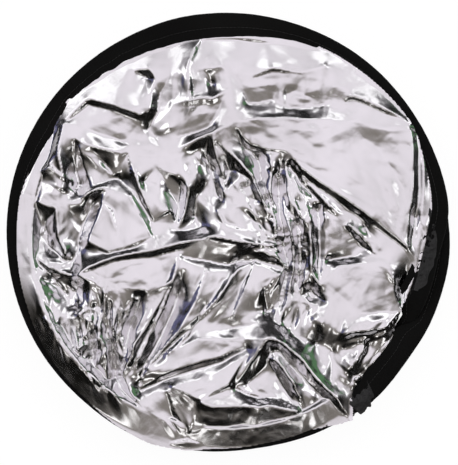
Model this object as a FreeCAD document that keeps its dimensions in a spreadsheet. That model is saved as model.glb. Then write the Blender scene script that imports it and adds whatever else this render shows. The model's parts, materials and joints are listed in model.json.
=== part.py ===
import FreeCAD
import Part
import Sketcher
import math
import os
import re

# Five-in-one collapsible reflector disc, folded for storage, in millimetres.
# One endless spring-steel hoop is coiled into three turns that lie on each other.  A casing of
# nylon holds the hoop and carries the diffuser cloth.  A zipped cover goes over it: silver above,
# black below, white and gold inside.  All five cloths are bunched up inside the coil.
# The origin is on the surface that the coil lies on, under its centre.  +Z is up.

SIZES = [
    ("open_diameter", 1100, "across the hoop when the disc is open"),
    ("band_width", 8, "spring-steel band, along the axis of the coil"),
    ("band_thickness", 0.9, "spring-steel band, across its bend"),
    ("butt_gap", 1, "between the two ends of the band"),
    ("sleeve_wall", 0.6, "steel sleeve over the ends of the band"),
    ("sleeve_length", 26, "steel sleeve, along the band"),
    ("sleeve_fit", 0.1, "sleeve to band"),
    ("rivet_diameter", 2, "rivets through the sleeve and the band"),
    ("rivet_fit", 0.05, "rivet to its hole, on the radius"),
    ("rivet_inset", 5, "from an end of the sleeve to its rivet"),
    ("casing_cloth", 0.6, "nylon casing of the hoop"),
    ("cover_cloth", 0.8, "folded edge tape of the cover"),
    ("cover_reach", 7.5, "edge tape, inwards from the middle of the band"),
    ("crease_angle", 7.5, "from one cross crease of the casing and the edge tape to the next"),
    ("clearance", 0.3, "between pieces that lie on each other"),
    ("turn_gap", 0.8, "between one turn of the coil and the next"),
    ("side_gap", 0.6, "between two turns that pass side by side"),
    ("low_crossing", 90, "where the lowest and the middle turn change places"),
    ("high_crossing", 335, "where the middle and the top turn change places"),
    ("swap_half_angle", 14, "half of the arc on which two turns change places"),
    ("ease_angle", 22, "arc on which a turn moves aside before that"),
    ("bulge", 2.2, "how far the outer of two crossing turns stands out"),
    ("joint_azimuth", 205, "where the ends of the band meet, in the middle turn"),
    ("casing_seam_azimuth", 215, "where the ends of the casing meet, in the top turn"),
    ("zip_start", 138, "open end of the zip, on the lowest turn"),
    ("zip_end", 318, "closed end of the zip"),
    ("tape_thickness", 0.5, "zip tape"),
    ("chain_thickness", 1.6, "zip chain, across the tape"),
    ("chain_width", 1.65, "one row of the chain"),
    ("chain_parting", 1.2, "between the two rows"),
    ("chain_fit", 0.1, "between a row of the chain and the edge of its tape"),
    ("stop_length", 3, "metal stops at the ends of the chain"),
    ("stop_rise", 0.3, "how far a stop stands out from the chain, on both faces"),
    ("end_tab_length", 16, "cloth tab over each end of the zip"),
    ("slider_azimuth", 304, "where the slider stands, nearly closed"),
    ("slider_length", 11, "slider, along the chain"),
    ("slider_width", 7.2, "slider, across the chain"),
    ("slider_plate", 1, "each plate of the slider"),
    ("slider_fit", 0.4, "from the chain to each plate"),
    ("slider_flange", 1, "rim that guides the chain, across the chain"),
    ("post_width", 0.6, "post between the two plates"),
    ("post_length", 2.6, "post between the two plates"),
    ("bridge_length", 8, "bridge over the front plate"),
    ("bridge_width", 2.2, "bridge over the front plate"),
    ("bridge_rise", 3.2, "bridge over the front plate"),
    ("bridge_bar", 0.9, "thickness of the bridge"),
    ("pull_length", 24, "pull tab, from its pivot"),
    ("pull_width", 7, "pull tab"),
    ("pull_thickness", 1.2, "pull tab"),
    ("pull_corner", 1.75, "cut off each corner of the pull tab"),
    ("pull_hole", 3.2, "diameter of the hole in the pull tab"),
    ("pull_hole_inset", 4.2, "from the tip of the pull tab to the middle of its hole"),
    ("cloth_creases", 36, "number of creases round each inner cloth"),
    ("cloth_gap", 0.3, "between one folded cloth and the next"),
    ("black_depth", 9.5, "folded black cloth"),
    ("gold_depth", 6.3, "folded gold cloth"),
    ("diffuser_depth", 7.2, "folded diffuser cloth"),
    ("white_depth", 6.3, "folded white cloth"),
    ("floor_gap", 1, "under the black cloth"),
    ("crown_rise", 6.5, "how far the highest folds of the silver cloth stand above its edge"),
    ("fold_depth", 10, "from the ridges of the silver cloth down to its valleys"),
    ("spill_start", 243, "where silver cloth hangs over the coil"),
    ("spill_end", 293, "where silver cloth hangs over the coil"),
    ("spill_cloth", 1.4, "loose double cloth over the coil"),
    ("spill_drop", 6, "how far it hangs down outside"),
]

TURNS = 3
FULL_TURN = 360.0
SPLINE_PACE = 4.5  # degrees from one point of a spline to the next
SPLINE_SPARE = 4  # points that a spline is drawn beyond each end before it is cut

doc = FreeCAD.newDocument("reflector_disc")
sheet = doc.addObject("Spreadsheet::Sheet", "Sizes")
for row, (alias, size, note) in enumerate(SIZES, start=1):
    sheet.set(f"A{row}", alias)
    sheet.set(f"B{row}", str(size))
    sheet.set(f"C{row}", note)
    sheet.setAlias(f"B{row}", alias)
doc.recompute()


def value(text):
    """The number that an expression on the sheet's aliases comes to."""
    return float(sheet.evalExpression(text))


def bound(text):
    """The same expression, as another object of the document writes it."""
    return re.sub(r"[a-z]\w+", lambda word: SHEET_NAMES.get(word[0], word[0]), text)


SHEET_NAMES = {alias: "Sizes." + alias for alias, _, _ in SIZES}

# What follows from the sizes, each measured from the middle of the band in its turn:
# "out" is along the radius, "high" is along the axis.
COIL_RADIUS = f"( open_diameter / ( 2 * {TURNS} ) )"
SLEEVE_OUT = "( band_thickness / 2 + sleeve_fit + sleeve_wall )"
SLEEVE_HIGH = "( band_width / 2 + sleeve_fit + sleeve_wall )"
# Between two creases a cloth runs straight, so it needs that much more room.
CREASE_SAG = f"( {COIL_RADIUS} * ( 1 - cos( crease_angle / 2 ) ) )"
CAVITY_OUT = f"( {SLEEVE_OUT} + clearance + {CREASE_SAG} )"
CAVITY_HIGH = f"( {SLEEVE_HIGH} + clearance )"
CASING_OUT = f"( {CAVITY_OUT} + casing_cloth )"
CASING_HIGH = f"( {CAVITY_HIGH} + casing_cloth )"
COVER_IN_OUT = f"( {CASING_OUT} + clearance + {CREASE_SAG} )"
COVER_IN_HIGH = f"( {CASING_HIGH} + clearance )"
COVER_OUT = f"( {COVER_IN_OUT} + cover_cloth )"
COVER_HIGH = f"( {COVER_IN_HIGH} + cover_cloth )"
TURN_PITCH = f"( 2 * {COVER_HIGH} + turn_gap )"
TUCK = f"( cover_reach + {COVER_OUT} + side_gap - bulge )"
LOW_LEVEL = COVER_HIGH
MIDDLE_LEVEL = f"( {LOW_LEVEL} + {TURN_PITCH} )"
TOP_LEVEL = f"( {MIDDLE_LEVEL} + {TURN_PITCH} )"
COIL_TOP = f"( {TOP_LEVEL} + {COVER_HIGH} )"
# The zip, outwards from the casing: back plate, chain on its tape, front plate, bridge.
BACK_PLATE = f"( {CASING_OUT} + clearance )"
CHAIN_BACK = f"( {BACK_PLATE} + slider_plate + slider_fit )"
CHAIN_FRONT = f"( {CHAIN_BACK} + chain_thickness )"
FRONT_PLATE = f"( {CHAIN_FRONT} + slider_fit )"
BRIDGE_FOOT = f"( {FRONT_PLATE} + slider_plate )"
TAPE_BACK = f"( ( {CHAIN_BACK} + {CHAIN_FRONT} ) / 2 - tape_thickness / 2 )"
TAPE_FRONT = f"( {TAPE_BACK} + tape_thickness )"
CHAIN_NEAR = "( chain_parting / 2 )"
CHAIN_FAR = f"( {CHAIN_NEAR} + chain_width )"
PIVOT_OUT = f"( {BRIDGE_FOOT} + ( bridge_rise - bridge_bar ) / 2 )"
# Where a turn moves aside, its straight runs leave the path by up to three times that.
CLOTH_SPACE = f"( cover_reach + 3 * {CREASE_SAG} + clearance )"
CLOTH_RADIUS = f"( {COIL_RADIUS} - {TUCK} - {CLOTH_SPACE} )"
CLOTH_REACH = f"( {COIL_RADIUS} - {CLOTH_SPACE} )"


# ---------------------------------------------------------------- the path of the coiled hoop

def smooth_step(share):
    """Rises from 0 to 1 while share goes from -1 to 1, with no kink in slope or curvature."""
    t = max(-1.0, min(1.0, share))
    return 0.5 + (15 * t - 10 * t**3 + 3 * t**5) / 16


class Coil:
    """The closed path that one hoop takes when it is folded into three turns.

    Along the path the hoop climbs from the lowest turn to the middle one and on to the top one,
    goes once round, and comes down the same two steps.  At the low crossing the rising turn
    passes outside the falling one.  At the high crossing it passes inside.  That pair of
    opposite crossings is what lets a plain untwisted ring fold up.  Between the crossings
    each turn is a true arc about the axis.
    """

    def __init__(self):
        self.radius = value(COIL_RADIUS)
        self.outwards = value("bulge")
        self.inwards = value(TUCK)
        self.low_level = value(LOW_LEVEL)
        self.pitch = value(TURN_PITCH)
        self.start = value("low_crossing")
        climb = (value("high_crossing") - self.start) % FULL_TURN
        self.length = TURNS * FULL_TURN
        # along the path, one turn up or down, and whether it passes outside
        self.steps = (
            (0.0, 1, True),
            (climb, 1, False),
            (climb + FULL_TURN, -1, True),
            (2 * FULL_TURN, -1, False),
        )
        self.swap = value("swap_half_angle")
        self.ease = value("ease_angle")
        self.half_zone = self.swap + self.ease

    def from_step(self, along, place):
        return (along - place + self.length / 2) % self.length - self.length / 2

    def height(self, along):
        turns_up = 0.0
        for place, rise, _ in self.steps:
            passed = along - place
            turns_up += rise * smooth_step(passed / self.swap)
            turns_up += rise * smooth_step((passed - self.length) / self.swap)
        return self.low_level + self.pitch * turns_up

    def reach(self, along):
        radius = self.radius
        for place, _, outside in self.steps:
            beyond = abs(self.from_step(along, place)) - self.swap
            aside = smooth_step(1 - 2 * beyond / self.ease)
            radius += aside * (self.outwards if outside else -self.inwards)
        return radius

    def along(self, azimuth, lap):
        """Where the path passes an azimuth on its first, second or third lap."""
        return (azimuth - self.start) % FULL_TURN + lap * FULL_TURN

    def spans(self, first, last):
        """The stretches between first and last: true arcs, and zones where turns cross."""
        cuts = {first, last}
        for place, _, _ in self.steps:
            for lap in (-self.length, 0.0, self.length):
                for side in (-self.half_zone, self.half_zone):
                    cuts.add(place + lap + side)
        cuts = sorted(cut for cut in cuts if first <= cut <= last)
        for start, end in zip(cuts, cuts[1:]):
            middle = (start + end) / 2
            crosses = any(
                abs(self.from_step(middle, place)) < self.half_zone for place, _, _ in self.steps
            )
            yield start, end, crosses

    def point(self, along, out, high):
        turn = math.radians(self.start + along)
        radius = self.reach(along) + out
        return FreeCAD.Vector(
            radius * math.cos(turn), radius * math.sin(turn), self.height(along) + high
        )

    def creased(self, sides, first, last, crease):
        """Straight runs between creases, which fall in the same places on every cloth."""
        pace = self.length / round(self.length / crease)
        inner = range(math.floor(first / pace) + 1, math.ceil(last / pace))
        places = [first] + [pace * i for i in inner] + [last]
        faces = []
        for here, there in zip(places, places[1:]):
            for a, b in sides:
                near = Part.makeLine(self.point(here, *a), self.point(there, *a))
                far = Part.makeLine(self.point(here, *b), self.point(there, *b))
                faces.append(Part.makeRuledSurface(near, far))
        return faces

    def strip(self, loops, first, last, crease=None):
        """The solid of a constant section that follows the path.

        The first loop of (out, high) corners is the outside, and a second one is its bore.
        Round an arc each side of the section is revolved.  Across a zone each corner draws a
        spline, and the faces are ruled between neighbours.  With a crease angle the section
        runs straight from one crease to the next instead.
        """
        faces = []
        for corners in loops:
            sides = list(zip(corners, corners[1:] + corners[:1]))
            if crease:
                faces += self.creased(sides, first, last, crease)
                continue
            for start, end, crosses in self.spans(first, last):
                if crosses:
                    lines = {c: spline(lambda t, c=c: self.point(t, *c), start, end) for c in corners}
                    faces += [Part.makeRuledSurface(lines[a], lines[b]) for a, b in sides]
                else:
                    for a, b in sides:
                        edge = Part.makeLine(self.point(start, *a), self.point(start, *b))
                        faces.append(edge.revolve(AXIS_FOOT, UP, end - start))
        for along in (first, last):
            rims = [[self.point(along, *corner) for corner in corners] for corners in loops]
            ends = [Part.Face(Part.makePolygon(rim + rim[:1])) for rim in rims]
            faces += ends[0].cut(ends[1:]).Faces if ends[1:] else ends
        return solid_of(faces)


def rectangle(out, high):
    return [(-out, -high), (out, -high), (out, high), (-out, high)]


AXIS_FOOT = FreeCAD.Vector(0, 0, 0)
UP = FreeCAD.Vector(0, 0, 1)


def spline(point_at, start, end):
    """A smooth edge through points of a path.

    It is cut from a longer one, so that it meets the arcs before and after it along their
    tangents.
    """
    count = round((end - start) / SPLINE_PACE)
    pace = (end - start) / count
    places = [start + pace * i for i in range(-SPLINE_SPARE, count + SPLINE_SPARE + 1)]
    curve = Part.BSplineCurve()
    curve.interpolate(Points=[point_at(place) for place in places], Parameters=places)
    curve.segment(start, end)
    return curve.toShape()


def solid_of(faces):
    shell = Part.makeShell(faces)
    shell.sewShape()
    solid = Part.makeSolid(shell)
    if solid.Volume < 0:
        solid.reverse()
    return solid


coil = Coil()


# ---------------------------------------------------------------- helpers for ordinary pieces

parts = []


def shaped(label, shape):
    """A piece that only its own formula can shape."""
    piece = doc.addObject("Part::Feature", label)
    piece.Label = label
    piece.Shape = shape
    piece.Placement = FreeCAD.Placement()
    parts.append(piece)
    return piece


def new_body(label):
    body = doc.addObject("PartDesign::Body", label)
    body.Label = label
    parts.append(body)
    return body


def profile(body, name, plane, corners):
    """A closed sketch of straight lines whose corners are pairs of expressions."""
    sketch = body.newObject("Sketcher::SketchObject", name)
    origin = next(o for o in body.Origin.OriginFeatures if o.Role == plane)
    sketch.AttachmentSupport = [(origin, "")]
    sketch.MapMode = "FlatFace"
    places = [FreeCAD.Vector(value(x), value(y), 0) for x, y in corners]
    for here, there in zip(places, places[1:] + places[:1]):
        sketch.addGeometry(Part.LineSegment(here, there), False)
    count = len(corners)
    for i, (x, y) in enumerate(corners):
        sketch.addConstraint(Sketcher.Constraint("Coincident", i, 2, (i + 1) % count, 1))
        for kind, text, size in (("X", x, places[i].x), ("Y", y, places[i].y)):
            row = sketch.addConstraint(Sketcher.Constraint("Distance" + kind, i, 1, size))
            sketch.renameConstraint(row, f"{kind.lower()}{i}")
            sketch.setExpression(f"Constraints.{kind.lower()}{i}", bound(text))
    return sketch


def box_corners(left, bottom, right, top):
    return [(left, bottom), (right, bottom), (right, top), (left, top)]


def at_radius(out):
    """A distance from the axis of the coil for a place that is `out` from its turn."""
    return f"{COIL_RADIUS} + {out}"


def ring_part(label, corners, start, end, high):
    """A section turned about the axis of the coil from one azimuth to another."""
    body = new_body(label)
    section = [(at_radius(out), f"{high} + {rise}") for out, rise in corners]
    sketch = profile(body, label + "_section", "XZ_Plane", section)
    turned = body.newObject("PartDesign::Revolution", label + "_turned")
    turned.Profile = sketch
    turned.ReferenceAxis = (sketch, ["V_Axis"])
    turned.setExpression("Angle", bound(f"( {end} ) - ( {start} )"))
    body.Placement = FreeCAD.Placement(
        FreeCAD.Vector(), FreeCAD.Rotation(FreeCAD.Vector(0, 0, 1), value(start))
    )
    body.setExpression("Placement.Rotation.Angle", bound(start))
    doc.recompute()
    return body


def folded_cloth(label, bottom, depth):
    """A round pack of folded cloth inside the coil, with creases round its edge."""
    outline = doc.addObject("Part::RegularPolygon", label + "_outline")
    outline.setExpression("Polygon", bound("cloth_creases"))
    outline.setExpression("Circumradius", bound(CLOTH_RADIUS))
    pack = doc.addObject("Part::Extrusion", label)
    pack.Label = label
    pack.Base = outline
    pack.DirMode = "Custom"
    pack.Dir = UP
    pack.Solid = True
    pack.setExpression("LengthFwd", bound(depth))
    pack.setExpression("Placement.Base.z", bound(bottom))
    doc.recompute()
    parts.append(pack)
    return pack


# ---------------------------------------------------------------- hoop, sleeve and rivets

def rivet_azimuths():
    half = value("sleeve_length / 2 - rivet_inset")
    turn = math.degrees(half / value(COIL_RADIUS))
    return [value("joint_azimuth") + side * turn for side in (-1, 1)]


def rivet_shape(azimuth, radius, half_length):
    centre = value(COIL_RADIUS)
    turn = math.radians(azimuth)
    outwards = FreeCAD.Vector(math.cos(turn), math.sin(turn), 0)
    base = outwards * (centre - half_length)
    base.z = value(MIDDLE_LEVEL)
    return Part.makeCylinder(radius, 2 * half_length, base, outwards)


def steel_hoop_band():
    out = value("band_thickness / 2")
    butt = coil.along(value("joint_azimuth"), 0)
    half_gap = math.degrees(value("butt_gap / 2") / coil.radius)
    ends = butt + half_gap, butt + coil.length - half_gap
    band = coil.strip([rectangle(out, value("band_width / 2"))], *ends)
    hole = value("rivet_diameter / 2 + rivet_fit")
    for azimuth in rivet_azimuths():
        band = band.cut(rivet_shape(azimuth, hole, 2 * out))
    return shaped("steel_hoop_band", band.Solids[0])


def hoop_joint_sleeve():
    half = f"( sleeve_length / ( 2 * {COIL_RADIUS} ) * 180 / pi )"
    inner_out = "( band_thickness / 2 + sleeve_fit )"
    inner_high = "( band_width / 2 + sleeve_fit )"
    corners = box_corners(f"-{SLEEVE_OUT}", f"-{SLEEVE_HIGH}", SLEEVE_OUT, SLEEVE_HIGH)
    start, end = f"joint_azimuth - {half}", f"joint_azimuth + {half}"
    outer = ring_part("sleeve_outside", corners, start, end, MIDDLE_LEVEL)
    corners = box_corners(f"-{inner_out}", f"-{inner_high}", inner_out, inner_high)
    inner = ring_part("sleeve_inside", corners, start, end, MIDDLE_LEVEL)
    sleeve = outer.Shape.cut(inner.Shape)
    for azimuth in rivet_azimuths():
        hole = value("rivet_diameter / 2 + rivet_fit")
        sleeve = sleeve.cut(rivet_shape(azimuth, hole, 2 * value(SLEEVE_OUT)))
    for mould in (outer, inner):
        parts.remove(mould)
    return shaped("hoop_joint_sleeve", sleeve.Solids[0])


def hoop_joint_rivets():
    radius = value("rivet_diameter / 2")
    rivets = [rivet_shape(a, radius, value(SLEEVE_OUT)) for a in rivet_azimuths()]
    return shaped("hoop_joint_rivets", Part.makeCompound(rivets))


def hoop_casing():
    """The nylon tube round the band.  The ends of its tape meet where the band's ends don't."""
    outside = rectangle(value(CASING_OUT), value(CASING_HIGH))
    bore = rectangle(value(CAVITY_OUT), value(CAVITY_HIGH))
    seam = coil.along(value("casing_seam_azimuth"), 1)
    half_gap = math.degrees(value("butt_gap / 2") / coil.radius)
    ends = seam + half_gap, seam + coil.length - half_gap
    return shaped("hoop_casing", coil.strip([outside, bore], *ends, value("crease_angle")))


# ---------------------------------------------------------------- cover and its zip

def cover_edge_tape():
    """Black tape folded over the hoop.  It thins to nothing towards its two hems, and it stops
    where the zip takes its place.
    """
    wall = value("cover_cloth")
    reach, out, high = value("cover_reach"), value(COVER_OUT), value(COVER_HIGH)
    section = [
        (-reach, -high),
        (out, -high),
        (out, high),
        (-reach, high),
        (out - wall, high - wall),
        (out - wall, wall - high),
    ]
    gap = math.degrees(value("clearance") / coil.radius)
    first = coil.along(value("zip_end"), 2) - coil.length + gap
    last = coil.along(value("zip_start"), 2) - gap
    return shaped("cover_edge_tape", coil.strip([section], first, last, value("crease_angle")))


def zip_tape(label, side):
    """One edge of the cover at the zip: it turns the corner and ends beside its chain."""
    sign = "" if side > 0 else "-"
    corners = [
        ("-cover_reach", f"{sign}{COVER_HIGH}"),
        (TAPE_FRONT, f"{sign}{COVER_HIGH}"),
        (TAPE_FRONT, f"{sign}( {CHAIN_FAR} + chain_fit )"),
        (TAPE_BACK, f"{sign}( {CHAIN_FAR} + chain_fit )"),
        (TAPE_BACK, f"{sign}{COVER_IN_HIGH}"),
    ]
    return ring_part(label, corners, "zip_start", "zip_end", LOW_LEVEL)


def arc_of(length):
    """The angle that a length makes on the coil, in degrees."""
    return f"( {length} / {COIL_RADIUS} * 180 / pi )"


STOP_ANGLE = arc_of("stop_length")
TAB_ANGLE = arc_of("end_tab_length / 2")
CHAIN_START = f"( zip_start + {TAB_ANGLE} + {STOP_ANGLE} )"
CHAIN_END = f"( zip_end - {TAB_ANGLE} - {STOP_ANGLE} )"


def zip_chain(label, side):
    sign = "" if side > 0 else "-"
    corners = box_corners(
        CHAIN_BACK, f"{sign}{CHAIN_NEAR}", CHAIN_FRONT, f"{sign}{CHAIN_FAR}"
    )
    return ring_part(label, corners, CHAIN_START, CHAIN_END, LOW_LEVEL)


def zip_stop(label, low, high, closed_end):
    """A stop thicker than the chain, so that the slider's plates come up against it."""
    corners = box_corners(f"{CHAIN_BACK} - stop_rise", low, f"{CHAIN_FRONT} + stop_rise", high)
    fit = arc_of("chain_fit")
    if closed_end:
        return ring_part(label, corners, f"{CHAIN_END} + {fit}", f"{CHAIN_END} + {STOP_ANGLE}", LOW_LEVEL)
    return ring_part(label, corners, f"{CHAIN_START} - {STOP_ANGLE}", f"{CHAIN_START} - {fit}", LOW_LEVEL)


def zip_end_tab(label, middle):
    corners = box_corners(
        f"( {TAPE_FRONT} + clearance )",
        f"-{COVER_HIGH}",
        f"( {TAPE_FRONT} + clearance + cover_cloth )",
        COVER_HIGH,
    )
    start, end = f"{middle} - {TAB_ANGLE}", f"{middle} + {TAB_ANGLE}"
    return ring_part(label, corners, start, end, LOW_LEVEL)


# ---------------------------------------------------------------- slider and pull

def seated(body):
    """Turns a piece drawn at +X to the slider's azimuth and lifts it to the lowest turn."""
    body.Placement = FreeCAD.Placement(
        FreeCAD.Vector(), FreeCAD.Rotation(FreeCAD.Vector(0, 0, 1), value("slider_azimuth"))
    )
    body.setExpression("Placement.Rotation.Angle", bound("slider_azimuth"))
    body.setExpression("Placement.Base.z", bound(LOW_LEVEL))
    doc.recompute()
    return body


def padded_up(body, name, plane, corners, half_height, cut=False, lift="0"):
    """A sketch given equal depth on both sides of its plane."""
    sketch = profile(body, name + "_outline", plane, corners)
    sketch.setExpression("AttachmentOffset.Base.z", bound(lift))
    kind = "PartDesign::Pocket" if cut else "PartDesign::Pad"
    feature = body.newObject(kind, name)
    feature.Profile = sketch
    feature.SideType = "Symmetric"
    feature.setExpression("Length", bound(f"2 * ( {half_height} )"))
    doc.recompute()
    return feature


def zip_slider_body():
    """Two plates with guiding rims, joined by a post that passes between the chains."""
    body = new_body("zip_slider_body")
    half_long, half_wide = "( slider_length / 2 )", "( slider_width / 2 )"
    lip = "( ( chain_thickness - tape_thickness ) / 2 - clearance / 2 )"
    back, front = at_radius(BACK_PLATE), at_radius(BRIDGE_FOOT)
    inner_back = f"{back} + slider_plate"
    inner_front = f"{front} - slider_plate"
    section = [
        (back, f"-{half_wide}"),
        (f"{inner_back} + {lip}", f"-{half_wide}"),
        (f"{inner_back} + {lip}", f"-{half_wide} + slider_flange"),
        (inner_back, f"-{half_wide} + slider_flange"),
        (inner_back, "- post_width / 2"),
        (inner_front, "- post_width / 2"),
        (inner_front, f"-{half_wide} + slider_flange"),
        (f"{inner_front} - {lip}", f"-{half_wide} + slider_flange"),
        (f"{inner_front} - {lip}", f"-{half_wide}"),
        (front, f"-{half_wide}"),
        (front, half_wide),
        (f"{inner_front} - {lip}", half_wide),
        (f"{inner_front} - {lip}", f"{half_wide} - slider_flange"),
        (inner_front, f"{half_wide} - slider_flange"),
        (inner_front, "post_width / 2"),
        (inner_back, "post_width / 2"),
        (inner_back, f"{half_wide} - slider_flange"),
        (f"{inner_back} + {lip}", f"{half_wide} - slider_flange"),
        (f"{inner_back} + {lip}", half_wide),
        (back, half_wide),
    ]
    padded_up(body, "slider_plates", "XZ_Plane", section, half_long)
    clear = box_corners(
        inner_back, "post_length / 2", inner_front, f"{half_long} + slider_plate"
    )
    for name, sign in (("slider_mouth", ""), ("slider_tail", "-")):
        corners = [(x, f"{sign}( {y} )") for x, y in clear]
        padded_up(body, name, "XY_Plane", corners, "post_width", cut=True)
    return seated(body)


def zip_slider_bridge():
    """The arch that holds the pull, standing on the front plate."""
    body = new_body("zip_slider_bridge")
    foot, crown = at_radius(BRIDGE_FOOT), at_radius(f"{BRIDGE_FOOT} + bridge_rise")
    half = "( bridge_length / 2 )"
    arch = [
        (foot, f"-{half}"),
        (f"{crown} - bridge_bar", f"-{half}"),
        (crown, f"-{half} + bridge_bar"),
        (crown, f"{half} - bridge_bar"),
        (f"{crown} - bridge_bar", half),
        (foot, half),
        (foot, f"{half} - bridge_bar"),
        (f"{crown} - bridge_bar", f"{half} - bridge_bar"),
        (f"{crown} - bridge_bar", f"-{half} + bridge_bar"),
        (foot, f"-{half} + bridge_bar"),
    ]
    padded_up(body, "bridge_arch", "XY_Plane", arch, "bridge_width / 2")
    return seated(body)


def zip_pull_tab():
    """A flat tab whose round end bar passes under the bridge, lying along the zip."""
    body = new_body("zip_pull_tab")
    pivot = at_radius(PIVOT_OUT)
    half_wide, half_thick = "( pull_width / 2 )", "( pull_thickness / 2 )"
    blank = [
        ("0", f"-{half_wide}"),
        ("pull_length - pull_corner", f"-{half_wide}"),
        ("pull_length", f"-{half_wide} + pull_corner"),
        ("pull_length", f"{half_wide} - pull_corner"),
        ("pull_length - pull_corner", half_wide),
        ("0", half_wide),
    ]
    padded_up(body, "tab_blank", "YZ_Plane", blank, half_thick, lift=pivot)
    eye_high = "( bridge_width / 2 + 2 * clearance )"
    eye_long = "( bridge_length / 2 + 3 * clearance )"
    eye = box_corners("-pull_thickness", f"-{eye_high}", eye_long, eye_high)
    padded_up(body, "tab_eye", "YZ_Plane", eye, "pull_thickness", cut=True, lift=pivot)
    bar = body.newObject("PartDesign::AdditiveCylinder", "tab_bar")
    bar.setExpression("Radius", bound(half_thick))
    bar.setExpression("Height", bound("pull_width"))
    bar.setExpression("Placement.Base.x", bound(pivot))
    bar.setExpression("Placement.Base.z", bound(f"-{half_wide}"))
    doc.recompute()
    hole = body.newObject("PartDesign::SubtractiveCylinder", "tab_hole")
    hole.setExpression("Radius", bound("pull_hole / 2"))
    hole.setExpression("Height", bound("2 * pull_thickness"))
    hole.Placement.Rotation = FreeCAD.Rotation(FreeCAD.Vector(0, 1, 0), 90)
    hole.setExpression("Placement.Base.x", bound(f"{pivot} - pull_thickness"))
    hole.setExpression("Placement.Base.y", bound("pull_length - pull_hole_inset"))
    doc.recompute()
    return seated(body)


# ---------------------------------------------------------------- the two outer cloths

def polar(azimuth, radius, high):
    turn = math.radians(azimuth)
    return FreeCAD.Vector(radius * math.cos(turn), radius * math.sin(turn), high)


def cloth_edge(azimuth, high):
    """The edge of a cloth that fills the coil, just inside the innermost turn."""
    radius = min(coil.reach(coil.along(azimuth, lap)) for lap in range(TURNS))
    return polar(azimuth, radius - value(CLOTH_SPACE), high)


def cloth_pack(bottom, top):
    """A pack that fills the coil to its edge, with flat faces below and above."""
    low, high = value("low_crossing"), value("high_crossing")
    zones = [(low - coil.half_zone, low + coil.half_zone), (high - coil.half_zone, high + coil.half_zone)]
    spans = [zones[0], (zones[0][1], zones[1][0]), zones[1], (zones[1][1], zones[0][0] + FULL_TURN)]
    rims = []
    for level in (bottom, top):
        rim = []
        for index, (start, end) in enumerate(spans):
            if index % 2:
                ends = [cloth_edge(a, level) for a in (start, (start + end) / 2, end)]
                rim.append(Part.Arc(*ends).toShape())
            else:
                rim.append(spline(lambda a, level=level: cloth_edge(a, level), start, end))
        rims.append(rim)
    walls = [Part.makeRuledSurface(a, b) for a, b in zip(*rims)]
    return solid_of(walls + [Part.Face(Part.Wire(rim)) for rim in rims])


BLACK_BOTTOM = "floor_gap"
GOLD_BOTTOM = f"( {BLACK_BOTTOM} + black_depth + cloth_gap )"
DIFFUSER_BOTTOM = f"( {GOLD_BOTTOM} + gold_depth + cloth_gap )"
WHITE_BOTTOM = f"( {DIFFUSER_BOTTOM} + diffuser_depth + cloth_gap )"
SILVER_BOTTOM = f"( {WHITE_BOTTOM} + white_depth + cloth_gap )"
SPILL_BOTTOM = f"( {COIL_TOP} + clearance )"
SILVER_EDGE = f"( {SPILL_BOTTOM} + spill_cloth )"


def black_cloth():
    bottom = value(BLACK_BOTTOM)
    return shaped("black_cloth", cloth_pack(bottom, bottom + value("black_depth")))


# Where the main folds of the silver cloth meet, in rings of 1, 6 and 12 from the middle: azimuth,
# distance from the axis as a share of the cloth's, and depth as a share of fold_depth.
FOLD_RINGS = [
    [(111, 0.17, 1)],
    [
        (359, 0.26, 0.3), (64, 0.39, 0.1), (119, 0.47, 0.1),
        (204, 0.26, 0), (262, 0.31, 0.6), (292, 0.54, 0),
    ],
    [
        (5, 0.66, 0.9), (27, 0.71, 0.3), (57, 0.66, 0.1), (88, 0.69, 0.6),
        (115, 0.67, 0.7), (138, 0.73, 0.1), (162, 0.63, 1), (193, 0.65, 0.1),
        (228, 0.73, 0.7), (257, 0.65, 1), (299, 0.72, 0.1), (333, 0.64, 0.4),
    ],
]
RING_SPARE = 2  # how far the outermost ring of folds passes the cloth's edge, where it is trimmed


def facets(inner, outer):
    """Flat triangles between two rings; in each sixth the outer has one corner more."""
    step = len(outer) // 6
    corners = []
    for sixth in range(6):
        for i in range(step):
            near, far = sixth * (step - 1) + i, sixth * step + i
            corners.append((inner[near % len(inner)], outer[far], outer[(far + 1) % len(outer)]))
            if i < step - 1:
                after = inner[(near + 1) % len(inner)]
                corners.append((inner[near % len(inner)], outer[(far + 1) % len(outer)], after))
    return [Part.Face(Part.makePolygon([a, b, c, a])) for a, b, c in corners]


def fold_roof():
    """A block whose top is the folds of the silver cloth, from its edge up to its highest ridge."""
    edge, reach = value(SILVER_EDGE), value(CLOTH_REACH)
    ridge, depth = edge + value("crown_rise"), value("fold_depth")
    rings = [
        [polar(azimuth, share * reach, ridge - drop * depth) for azimuth, share, drop in ring]
        for ring in FOLD_RINGS
    ]
    sides = 6 * len(FOLD_RINGS)
    radius = (reach + RING_SPARE) / math.cos(math.pi / sides)
    rings.append([polar(side * FULL_TURN / sides, radius, edge) for side in range(sides)])
    floor = [FreeCAD.Vector(corner.x, corner.y, 0) for corner in rings[-1]]
    faces = [Part.Face(Part.makePolygon(floor + floor[:1]))]
    for inner, outer in zip(rings, rings[1:]):
        faces += facets(inner, outer)
    for side in range(sides):
        a, b = side, (side + 1) % sides
        wall = [rings[-1][a], rings[-1][b], floor[b], floor[a], rings[-1][a]]
        faces.append(Part.Face(Part.makePolygon(wall)))
    return solid_of(faces)


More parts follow.
